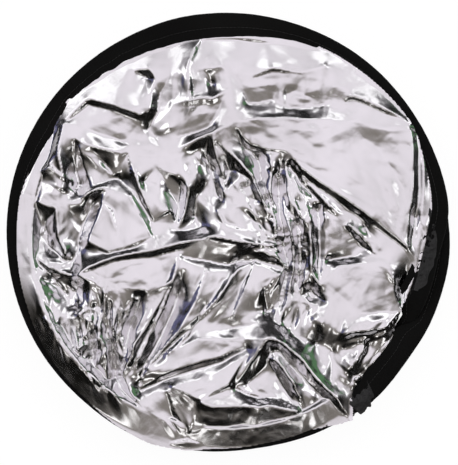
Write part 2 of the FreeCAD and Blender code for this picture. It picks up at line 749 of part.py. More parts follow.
def silver_cloth():
    """The silver cloth fills the top of the coil, and on one side it hangs over the rim."""
    edge = value(SILVER_EDGE)
    above = edge + value("crown_rise + clearance")
    pack = cloth_pack(value(SILVER_BOTTOM), above).common(fold_roof())
    root = value(CLOTH_RADIUS)
    inside = value(f"{COIL_RADIUS} + {COVER_OUT} + clearance")
    outside = inside + value("spill_cloth")
    bottom = value(SPILL_BOTTOM)
    hem = edge - value("spill_drop")
    outline = [
        (root, bottom),
        (inside, bottom),
        (inside, hem),
        (outside, hem),
        (outside, edge),
        (root, edge),
    ]
    points = [FreeCAD.Vector(radius, 0, high) for radius, high in outline]
    section = Part.Face(Part.makePolygon(points + points[:1]))
    up, start = FreeCAD.Vector(0, 0, 1), value("spill_start")
    section.rotate(FreeCAD.Vector(), up, start)
    spill = section.revolve(FreeCAD.Vector(), up, value("spill_end") - start)
    return shaped("silver_cloth", pack.fuse(spill).Solids[0])


# ---------------------------------------------------------------- assembly

steel_hoop_band()
hoop_joint_sleeve()
hoop_joint_rivets()
hoop_casing()
cover_edge_tape()
zip_tape("zip_tape_upper", 1)
zip_tape("zip_tape_lower", -1)
zip_chain("zip_chain_upper", 1)
zip_chain("zip_chain_lower", -1)
zip_stop("zip_top_stop_upper", CHAIN_NEAR, CHAIN_FAR, True)
zip_stop("zip_top_stop_lower", f"-{CHAIN_NEAR}", f"-{CHAIN_FAR}", True)
zip_stop("zip_bottom_stop", f"-{CHAIN_FAR}", CHAIN_FAR, False)
zip_end_tab("zip_end_tab_closed", "zip_end")
zip_end_tab("zip_end_tab_open", "zip_start")
zip_slider_body()
zip_slider_bridge()
zip_pull_tab()
black_cloth()
folded_cloth("gold_cloth", GOLD_BOTTOM, "gold_depth")
folded_cloth("diffuser_cloth", DIFFUSER_BOTTOM, "diffuser_depth")
folded_cloth("white_cloth", WHITE_BOTTOM, "white_depth")
silver_cloth()
doc.recompute()

for item in doc.Objects:
    if "Invalid" in item.State or "Error" in item.State:
        raise RuntimeError(f"{item.Label} failed: {item.State}")
for piece in parts:
    if piece.Shape.isNull() or not piece.Shape.isValid():
        raise RuntimeError(f"{piece.Label} has no valid shape")

os.makedirs("parts", exist_ok=True)
for piece in parts:
    piece.Shape.exportStep(f"parts/{piece.Label}.step")
    solids, volume = len(piece.Shape.Solids), piece.Shape.Volume
    print(f"{piece.Label}: {solids} solid(s), {volume:.1f} cubic mm")
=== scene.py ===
import json
import math
import bpy
import numpy as np
from mathutils import Matrix, Vector, geometry, noise


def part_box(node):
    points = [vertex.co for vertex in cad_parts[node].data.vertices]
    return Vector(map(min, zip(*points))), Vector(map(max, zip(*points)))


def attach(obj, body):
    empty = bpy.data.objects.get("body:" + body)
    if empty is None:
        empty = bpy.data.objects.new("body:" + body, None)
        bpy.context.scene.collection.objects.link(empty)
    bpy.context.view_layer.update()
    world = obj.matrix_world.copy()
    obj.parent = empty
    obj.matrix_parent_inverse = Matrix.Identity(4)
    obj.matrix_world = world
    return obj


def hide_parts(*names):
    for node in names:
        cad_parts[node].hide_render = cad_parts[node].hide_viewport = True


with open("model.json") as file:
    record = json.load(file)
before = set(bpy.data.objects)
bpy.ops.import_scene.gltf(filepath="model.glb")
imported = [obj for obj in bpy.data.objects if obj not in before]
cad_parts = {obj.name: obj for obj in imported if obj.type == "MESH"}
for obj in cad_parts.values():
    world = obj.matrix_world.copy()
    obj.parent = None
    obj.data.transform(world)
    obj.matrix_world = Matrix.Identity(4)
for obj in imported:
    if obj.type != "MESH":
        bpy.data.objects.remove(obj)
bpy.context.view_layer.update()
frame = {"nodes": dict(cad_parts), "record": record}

coilBody = "folded_disc"


# Shader helper: arithmetic on wires adds Math nodes

class Wire:
    def __init__(self, shader, socket):
        self.shader = shader
        self.socket = socket

    def maths(self, operation, *items):
        sockets = {"s" + str(i): item for i, item in enumerate(items)}
        return self.shader.node("Math", {"operation": operation}, **sockets)

    def __add__(self, other):
        return self.maths("ADD", self, other)

    def __mul__(self, other):
        return self.maths("MULTIPLY", self, other)

    __radd__ = __add__
    __rmul__ = __mul__

    def sine(self):
        return self.maths("SINE", self)

    def atMost(self, other):
        return self.maths("MINIMUM", self, other)

    def band(self, low, high, a=0.0, b=1.0):
        # a smooth step from a at low to b at high
        smooth = {"interpolation_type": "SMOOTHSTEP"}
        return self.shader.node("MapRange", smooth, s0=self, s1=low, s2=high, s3=a, s4=b)


class Shader:
    def __init__(self, tree):
        self.tree = tree
        tree.nodes.clear()

    def node(self, kind, settings=None, out=0, **sockets):
        # a socket is named, with _ for a space, or numbered, as in s6
        made = self.tree.nodes.new("ShaderNode" + kind)
        for name, setting in (settings or {}).items():
            setattr(made, name, setting)
        for name, item in sockets.items():
            numbered = name[1:].isdigit()
            slot = made.inputs[int(name[1:])] if numbered else made.inputs[name.replace("_", " ")]
            if isinstance(item, Wire):
                self.tree.links.new(item.socket, slot)
            elif hasattr(slot.default_value, "__len__"):
                slot.default_value = (*item, 1.0)[:len(slot.default_value)]
            else:
                slot.default_value = item
        return Wire(self, made.outputs[out]) if len(made.outputs) else made

    def mix(self, factor, a, b):
        return self.node("Mix", {"data_type": "RGBA"}, out=2, s0=factor, s6=a, s7=b)

    def noise(self, place, scale, detail=2.0, roughness=0.5, distortion=0.0):
        return self.node("TexNoise", Vector=place, Scale=scale, Detail=detail, Roughness=roughness,
                         Distortion=distortion)

    def stretched(self, place, scale):
        return self.node("Mapping", Vector=place, Scale=scale)

    def apart(self, place):
        parted = self.node("SeparateXYZ", Vector=place).socket.node
        return [Wire(self, socket) for socket in parted.outputs]


def newMaterial(name):
    material = bpy.data.materials.new(name)
    material.use_nodes = True
    return material, Shader(material.node_tree)


def finishMaterial(shader, bump, bumpHeight, bumpStrength, **sockets):
    normal = shader.node("Bump", Height=bump, Distance=bumpHeight, Strength=bumpStrength)
    surface = shader.node("BsdfPrincipled", Normal=normal, **sockets)
    shader.node("OutputMaterial", Surface=surface)


# Mesh helpers

def meshPiece(name, points, faces, material, uv=None):
    # points in metres, in the frame's own axes
    mesh = bpy.data.meshes.new(name)
    mesh.from_pydata([tuple(p) for p in points], [], [tuple(f) for f in faces])
    if uv is not None:
        layer = mesh.uv_layers.new(name="cloth")
        corner = np.empty(len(mesh.loops), dtype=np.int32)
        mesh.loops.foreach_get("vertex_index", corner)
        layer.data.foreach_set("uv", np.asarray(uv, dtype=np.float32)[corner].ravel())
    mesh.polygons.foreach_set("use_smooth", [True] * len(mesh.polygons))
    mesh.update()
    piece = bpy.data.objects.new(name, mesh)
    bpy.context.scene.collection.objects.link(piece)
    mesh.materials.append(material)
    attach(piece, coilBody)
    return piece


def gridFaces(rows, columns):
    here = np.arange(rows - 1)[:, None] * columns + np.arange(columns - 1)
    return np.stack([here, here + 1, here + columns + 1, here + columns], axis=-1).reshape(-1, 4)


def axesAt(turn):
    # two directions at right angles, the first turned by this angle from X
    along = np.array([math.cos(turn), math.sin(turn)])
    return along, np.array([-along[1], along[0]])


def away(azimuth, middle):
    # degrees from one azimuth to another, -180 to 180
    return (np.degrees(azimuth) - middle + 180) % 360 - 180


def softNoise(points, scale, seed):
    shift = Vector((seed * 17.3, seed * 5.7, seed * 11.1))
    return np.array([noise.noise(Vector(p) * scale + shift) for p in points])


def waves(angle, seed, low, high):
    # a smooth wobble round a full turn, made of whole numbers of waves
    draw = np.random.default_rng(seed)
    total = np.zeros_like(angle)
    for count in range(low, high + 1):
        total += draw.normal() / count**0.5 * np.sin(count * angle + draw.uniform(0, 2 * math.pi))
    return total / math.sqrt(max(1, high - low))


# The path of the hoop: three turns, two pairs of crossings

clothCut = 1.1  # diameter of the disc when it is open

hoop = {
    "radius": clothCut / 6,
    "lowLevel": 0.0067, "turnPitch": 0.0142,
    "lowCrossing": 90.0, "highCrossing": 335.0,  # degrees
    "swapHalfAngle": 14.0, "easeAngle": 22.0,
    "bulge": 0.0022, "tuck": 0.0098,  # out and in, where two turns pass each other
}


def smoothStep(share):
    t = np.clip(share, -1, 1)
    return 0.5 + (15 * t - 10 * t**3 + 3 * t**5) / 16


def hoopPath(along):
    # radius, azimuth and height of the hoop's middle at a place on its path, given in degrees
    climb = (hoop["highCrossing"] - hoop["lowCrossing"]) % 360
    steps = ((0, 1, True), (climb, 1, False), (climb + 360, -1, True), (720, -1, False))
    radius = np.full_like(along, hoop["radius"])
    turnsUp = np.zeros_like(along)
    for place, rise, outside in steps:
        turnsUp += rise * smoothStep((along - place) / hoop["swapHalfAngle"])
        turnsUp += rise * smoothStep((along - place - 1080) / hoop["swapHalfAngle"])
        beyond = np.abs((along - place + 540) % 1080 - 540) - hoop["swapHalfAngle"]
        aside = smoothStep(1 - 2 * beyond / hoop["easeAngle"])
        radius += aside * (hoop["bulge"] if outside else -hoop["tuck"])
    azimuth = np.radians(along + hoop["lowCrossing"])
    return radius, azimuth, hoop["lowLevel"] + hoop["turnPitch"] * turnsUp


def alongOf(azimuth, lap):
    return (azimuth - hoop["lowCrossing"]) % 360 + lap * 360


rim = {
    "bumps": (  # azimuth, how far out, and width in degrees
        (0, 0.0028, 24), (52, 0.0008, 14), (245, 0.0018, 12), (279, -0.0024, 13), (308, 0.0012, 7),
        (325, -0.0022, 9)),
    "wobble": 0.0004, "wobbleSeed": 3, "wobbleWaves": (3, 11), "lean": 0.02, "leanAbout": 0.02,
    "out": 0.0039, "high": 0.0067, "corner": 0.0034, "reach": 0.0075, "gather": 0.00022,
    "stationAngle": 0.6, "zipStart": 138.0, "zipEnd": 318.0, "zipLap": 2, "columns": 25, "zipColumns": 13,
    "overlap": 0.002, "hemLift": 0.0016, "floorGap": 0.0001,
}


def outlineWobble(azimuth, high):
    # how far the cloth of the rim stands out or in, round the coil and a little by height
    bumps = sum(size * np.exp(-(away(azimuth, at) / wide) ** 2) for at, size, wide in rim["bumps"])
    lean = rim["lean"] * (high - rim["leanAbout"]) * np.sin(azimuth * 2 + 1)
    return bumps + rim["wobble"] * waves(azimuth, rim["wobbleSeed"], *rim["wobbleWaves"]) + lean


def sectionLine(stops, corner, count):
    # points at even spacing along a line with rounded corners
    path = [np.array(stops[0], float)]
    for before, here, after in zip(stops, stops[1:], stops[2:]):
        before, here, after = (np.array(p, float) for p in (before, here, after))
        toBefore = (before - here) / np.linalg.norm(before - here)
        toAfter = (after - here) / np.linalg.norm(after - here)
        a, b = here + toBefore * corner, here + toAfter * corner
        for t in np.linspace(0, 1, 6):
            path.append((1 - t) ** 2 * a + 2 * t * (1 - t) * here + t**2 * b)
    path.append(np.array(stops[-1], float))
    path = np.array(path)
    gaps = np.linalg.norm(np.diff(path, axis=0), axis=1)
    run = np.concatenate([[0], np.cumsum(gaps)])
    places = np.linspace(0, run[-1], count)
    return np.stack([np.interp(places, run, path[:, 0]), np.interp(places, run, path[:, 1])], axis=1), run[-1]


pucker = {"run": 0.0032, "along": 380, "across": 2.2, "seedStep": 3.1, "middle": 0.5, "hems": 1.6}


def puckerAt(along, share, seed):
    run = along * pucker["run"] * pucker["along"]
    return noise.noise(Vector((run, share * pucker["across"], seed * pucker["seedStep"])))


def sweep(name, first, last, section, slotName, gather=0.0, seed=1, step=None, inner=None, wobble=1.0):
    # carries a section of (out, high) points along the hoop's path
    count = int((last - first) / (step or rim["stationAngle"])) + 1
    along = np.linspace(first, last, count)
    radius, azimuth, high = hoopPath(along)
    line, width = section
    columns = len(line)
    out = np.repeat(line[None, :, 0], count, axis=0)
    rise = np.repeat(line[None, :, 1], count, axis=0)
    if inner is not None:
        out, rise = inner(azimuth, high, out, rise)
    r = radius[:, None] + out + wobble * outlineWobble(azimuth, high)[:, None]
    east, north = np.cos(azimuth)[:, None], np.sin(azimuth)[:, None]
    points = np.stack([r * east, r * north, high[:, None] + rise], axis=-1)
    if gather:
        # puckers that run across the tape, deeper at its hems
        share = np.linspace(-1, 1, columns)[None, :]
        relief = np.array([[puckerAt(a, b, seed) for b in share[0]] for a in along])
        normal = np.stack([np.gradient(rise, axis=1), -np.gradient(out, axis=1)], axis=-1)
        normal /= np.maximum(np.linalg.norm(normal, axis=-1, keepdims=True), 1e-9)
        lift = gather * relief * (pucker["middle"] + pucker["hems"] * share**2)
        points[..., 0] += lift * normal[..., 0] * east
        points[..., 1] += lift * normal[..., 0] * north
        points[..., 2] += lift * normal[..., 1]
    points[..., 2] = np.maximum(points[..., 2], rim["floorGap"])
    uv = np.stack(np.broadcast_arrays(np.radians(along - first)[:, None] * hoop["radius"],
                                      np.linspace(0, width, columns)[None, :]), axis=-1)
    return meshPiece(name, points.reshape(-1, 3), gridFaces(count, columns), finishes[slotName],
                     uv.reshape(-1, 2))


# Materials

def weave(shader, place, pitch):
    # over-and-under threads, 0 to 1, from a position in metres
    x, y, _ = shader.apart(place)
    turns = 2 * math.pi / pitch
    return ((x * turns).sine() * (y * turns).sine()) * 0.5 + 0.5


def wovenTape(name, colour, pitch=0.0009, shine=0.72):
    material, s = newMaterial(name)
    cloth = s.node("UVMap", {"uv_map": "cloth"})
    solid = s.node("TexCoord", out=3)
    threads = weave(s, cloth, pitch)
    ribs = weave(s, s.stretched(cloth, (1, 0.02, 1)), pitch * 2.4)
    fineReliefHighlight = s.noise(solid, 55.0, 4.0, 0.6)
    patch = s.noise(solid, 14.0)
    # the tone is painted lighter where the threads and the fine relief stand up, a painted highlight, and
    # varies at random by patch
    light = tuple(c * 2.1 + 0.005 for c in colour)
    tone = s.mix(threads * 0.5 + patch * 0.35 + fineReliefHighlight * 0.15, colour, light)
    finishMaterial(s, threads * 0.6 + ribs * 0.4 + fineReliefHighlight * 0.5, bumpHeight=0.00022, bumpStrength=0.7,
                   Base_Color=tone, Roughness=patch.band(0.3, 0.7, shine - 0.08, shine + 0.1),
                   Sheen_Weight=0.04, Sheen_Roughness=0.4, Specular_IOR_Level=0.12)
    return material


def mirrorFoil(name, tint, patchColour):
    # metal film on thin cloth: mirror-like, with fine creases where it has been crushed
    material, s = newMaterial(name)
    place = s.node("TexCoord", out=3)
    broad = s.noise(place, 16.0)
    crumple = s.noise(place, 34.0).band(0.46, 0.62)
    fine = s.noise(place, 210.0, 4.0, 0.62, 0.7)
    cells = s.node("TexVoronoi", {"feature": "DISTANCE_TO_EDGE"}, Vector=place, Scale=105.0, Randomness=1.0)
    shallow = s.noise(place, 62.0, 3.0, 0.55, 0.4)
    threads = s.noise(s.stretched(place, (1.0, 1.0, 0.2)), 1500.0, 1.0)
    relief = shallow * 0.08 + cells.band(0.0, 0.3) * crumple * 0.2
    relief = relief + fine * (crumple * 0.12 + 0.04) + threads * 0.03
    # the tone is a little darker in broad random patches
    tone = s.mix(broad.band(0.35, 0.65), tint, patchColour)
    rough = (shallow.band(0.35, 0.7, 0.1, 0.2) + crumple * 0.07).atMost(0.4)
    finishMaterial(s, relief, bumpHeight=0.0009, bumpStrength=0.4, Base_Color=tone, Roughness=rough,
                   Metallic=1.0)
    return material


def plainNylon(name, colour, light, rough, pitch=0.0007):
    material, s = newMaterial(name)
    place = s.node("TexCoord", out=3)
    threads = weave(s, place, pitch)
    crumple = s.noise(place, 90.0, 5.0, 0.6, 0.8)
    broad = s.noise(place, 18.0)
    # the tone is painted lighter where the crumples and threads stand up, a painted highlight, and varies at
    # random in broad patches
    tone = s.mix(threads * 0.35 + broad * 0.4 + crumple * 0.25, colour, light)
    finishMaterial(s, crumple + threads * 0.25, bumpHeight=0.0009, bumpStrength=0.6, Base_Color=tone,
                   Roughness=broad.band(0.3, 0.7, rough - 0.06, rough + 0.08), Sheen_Weight=0.15)
    return material


def metalFinish(name, colour, dark, rough, grain, metallic=1.0, coat=0.0):
    material, s = newMaterial(name)
    place = s.node("TexCoord", out=3)
    brushed = s.noise(s.stretched(place, (1, 1, 12)), grain, 3.0)
    patch = s.noise(place, 130.0, 3.0)
    tone = s.mix(patch.band(0.3, 0.75), colour, dark)
    finishMaterial(s, brushed, bumpHeight=0.00006, bumpStrength=0.5, Base_Color=tone, Metallic=metallic,
                   Roughness=brushed.band(0.3, 0.7, rough - 0.05, rough + 0.09), Coat_Weight=coat)
    return material


finishes = {
    "edge_tape": wovenTape("black edge tape", (0.0022, 0.0022, 0.002)),
    "zip_cloth": wovenTape("zip tape cloth", (0.0075, 0.0075, 0.008), pitch=0.0007),
    "nylon_casing": wovenTape("casing nylon", (0.012, 0.012, 0.013), pitch=0.0006, shine=0.5),
    "silver_fabric": mirrorFoil("silver foil cloth", (0.86, 0.845, 0.875), (0.8, 0.785, 0.81)),
    "gold_fabric": mirrorFoil("gold foil cloth", (0.83, 0.62, 0.27), (0.74, 0.53, 0.2)),
    "black_fabric": plainNylon("black nylon cloth", (0.009, 0.009, 0.0095), (0.03, 0.03, 0.032), 0.52),
    "white_fabric": plainNylon("white nylon cloth", (0.8, 0.8, 0.8), (0.88, 0.88, 0.88), 0.6),
    "diffuser_fabric": plainNylon("diffuser cloth", (0.78, 0.78, 0.77), (0.86, 0.86, 0.85), 0.7, 0.0005),
    "zip_nylon": metalFinish("zip teeth nylon", (0.014, 0.014, 0.015), (0.022, 0.022, 0.023), 0.38, 900.0,
                             metallic=0.0, coat=0.2),
    "zip_metal": metalFinish("zip stops", (0.62, 0.62, 0.63), (0.5, 0.5, 0.51), 0.35, 700.0),
    "slider_metal": metalFinish("black enamelled slider", (0.018, 0.018, 0.019), (0.03, 0.03, 0.031), 0.3,
                                800.0, metallic=0.0, coat=0.5),
    "spring_steel": metalFinish("tempered spring steel", (0.42, 0.43, 0.46), (0.3, 0.32, 0.38), 0.3, 500.0),
    "plated_steel": metalFinish("plated steel", (0.66, 0.67, 0.69), (0.55, 0.56, 0.58), 0.25, 600.0),
}
glossyBlack = plainNylon("coated side of the black cloth", (0.006, 0.006, 0.0065), (0.014, 0.014, 0.015),
                         0.27)
thread = plainNylon("sewing thread", (0.016, 0.016, 0.016), (0.035, 0.035, 0.035), 0.5, 0.0003)
print("materials made:", len(finishes) + 2)

for part in frame["record"]["subparts"]:
    shown = frame["nodes"][part["node"]]
    shown.data.materials.clear()
    shown.data.materials.append(finishes[part["material_slot"]])


# The silver cloth. Its places and heights are in millimetres, its azimuths in degrees

silver = {
    # radius of its border by azimuth
    "edge": {
        0: 172, 10: 176, 20: 178, 30: 182, 40: 180, 50: 178, 60: 177, 70: 175, 80: 171, 90: 168, 100: 168,
        110: 169, 130: 173, 140: 176, 150: 172, 160: 175, 170: 178, 180: 178, 200: 180, 210: 182.5,
        230: 184.5, 240: 188, 250: 190, 260: 187, 266: 183, 280: 181, 293: 181, 300: 187, 304: 191,
        308: 172, 316: 166, 325: 168, 331: 163, 338: 161, 345: 165, 352: 168,
    },
    "spacing": 1.2, "edgeHeight": 42.6, "lieHeight": 43.2, "coilHeight": 33,
    # folds: how bold they are about the middle height, and how the cloth hangs between them
    "borderStep": 5.0, "joined": 0.4,
    "middle": 46, "boldness": 1.25, "steepest": 0.78, "steepSteps": 60, "roundOff": 1,
    "softness": {"reach": 30.0, "steps": 24, "hold": 2.5},
    "drop": {"width": 1.8, "widthPerDrop": 0.35, "slope": 0.62, "atEnds": 0.3}, "snap": 0.44,
    # small creases: how many, how long and wide, and where they are many or few as x, y, reach, strength
    "creaseSpread": 0.35, "creasedRadius": 170,
    "creases": {"count": 1500, "depth": 0.3, "seed": 11, "longs": (8, 34), "wides": (2.4, 8)},
    "bundleCreases": {"count": 1100, "depth": 0.42, "seed": 41, "longs": (12, 40), "wides": (1.8, 4.0)},
    "bulge": {"height": 0.2, "scale": 0.024, "seed": 5},
    "quiet": 0.4, "calmBorder": 14, "calmTop": {"share": 0.85, "north": 170, "from": 118, "over": 36},
    "crumpled": [
        (-172, 20, 20, 0.1), (-50, -174, 16, 1.5), (-15, -178, 14, 1.3), (-135, -118, 26, 1.7),
        (-20, 122, 24, 0.6), (25, 117, 18, 0.6), (68, 120, 20, 0.7), (-5, 50, 24, 1.2), (125, -108, 26, 1.5),
        (30, 50, 22, 1.6), (50, 5, 24, 1.2), (55, -50, 20, 1.2), (-70, -90, 22, 0.9),
        (84, 24, 14, 1.6), (116, -2, 13, 1.5), (-30, 118, 16, 1.0), (150, -40, 14, 1.4), (-135, 45, 20, 1.0),
        (-125, -85, 26, 1.4), (-100, -130, 22, 1.6), (60, -60, 22, 1.2), (168, 0, 16, 1.5),
        (-60, -60, 20, 0.8), (-90, 120, 22, 0.05), (-88, 12, 24, 0.05), (100, 55, 26, 0.12),
        (15, 158, 24, 0.12), (-35, -95, 18, 0.1), (0, -158, 26, 0.35), (100, -42, 22, 0.3),
        (40, 80, 14, 0.2), (-45, 80, 14, 0.2), (-110, 98, 16, 0.1),
    ],
    # bundles of narrow folds that run side by side: x, y, reach in x, reach in y and strength
    "bundles": [(-150, -12, 14, 40, 1.2), (48, 6, 24, 60, 1.25), (-106, -88, 34, 46, 1.25),
                (52, -70, 22, 30, 0.7)],
    # the border, which the coil carries from the first radius to the second
    "carried": (152, 165), "borderRelief": 5,
    "tucked": {"width": 3.0, "depth": 1.0, "loose": 0.3},
    # where the border is loose it falls outwards: slope, two radii, azimuth and spread
    "looseBorders": [(0.52, 168, 185, 217, 26), (0.4, 161, 181, 280, 22)], "looseFall": 3,
    # the rest of the cloth, under the ply that shows
    "hidden": {"radius": 161.0, "low": 31.8, "high": 37.2, "plies": 9, "step": 6.5, "seed": 21,
               "drift": 0.25},
}

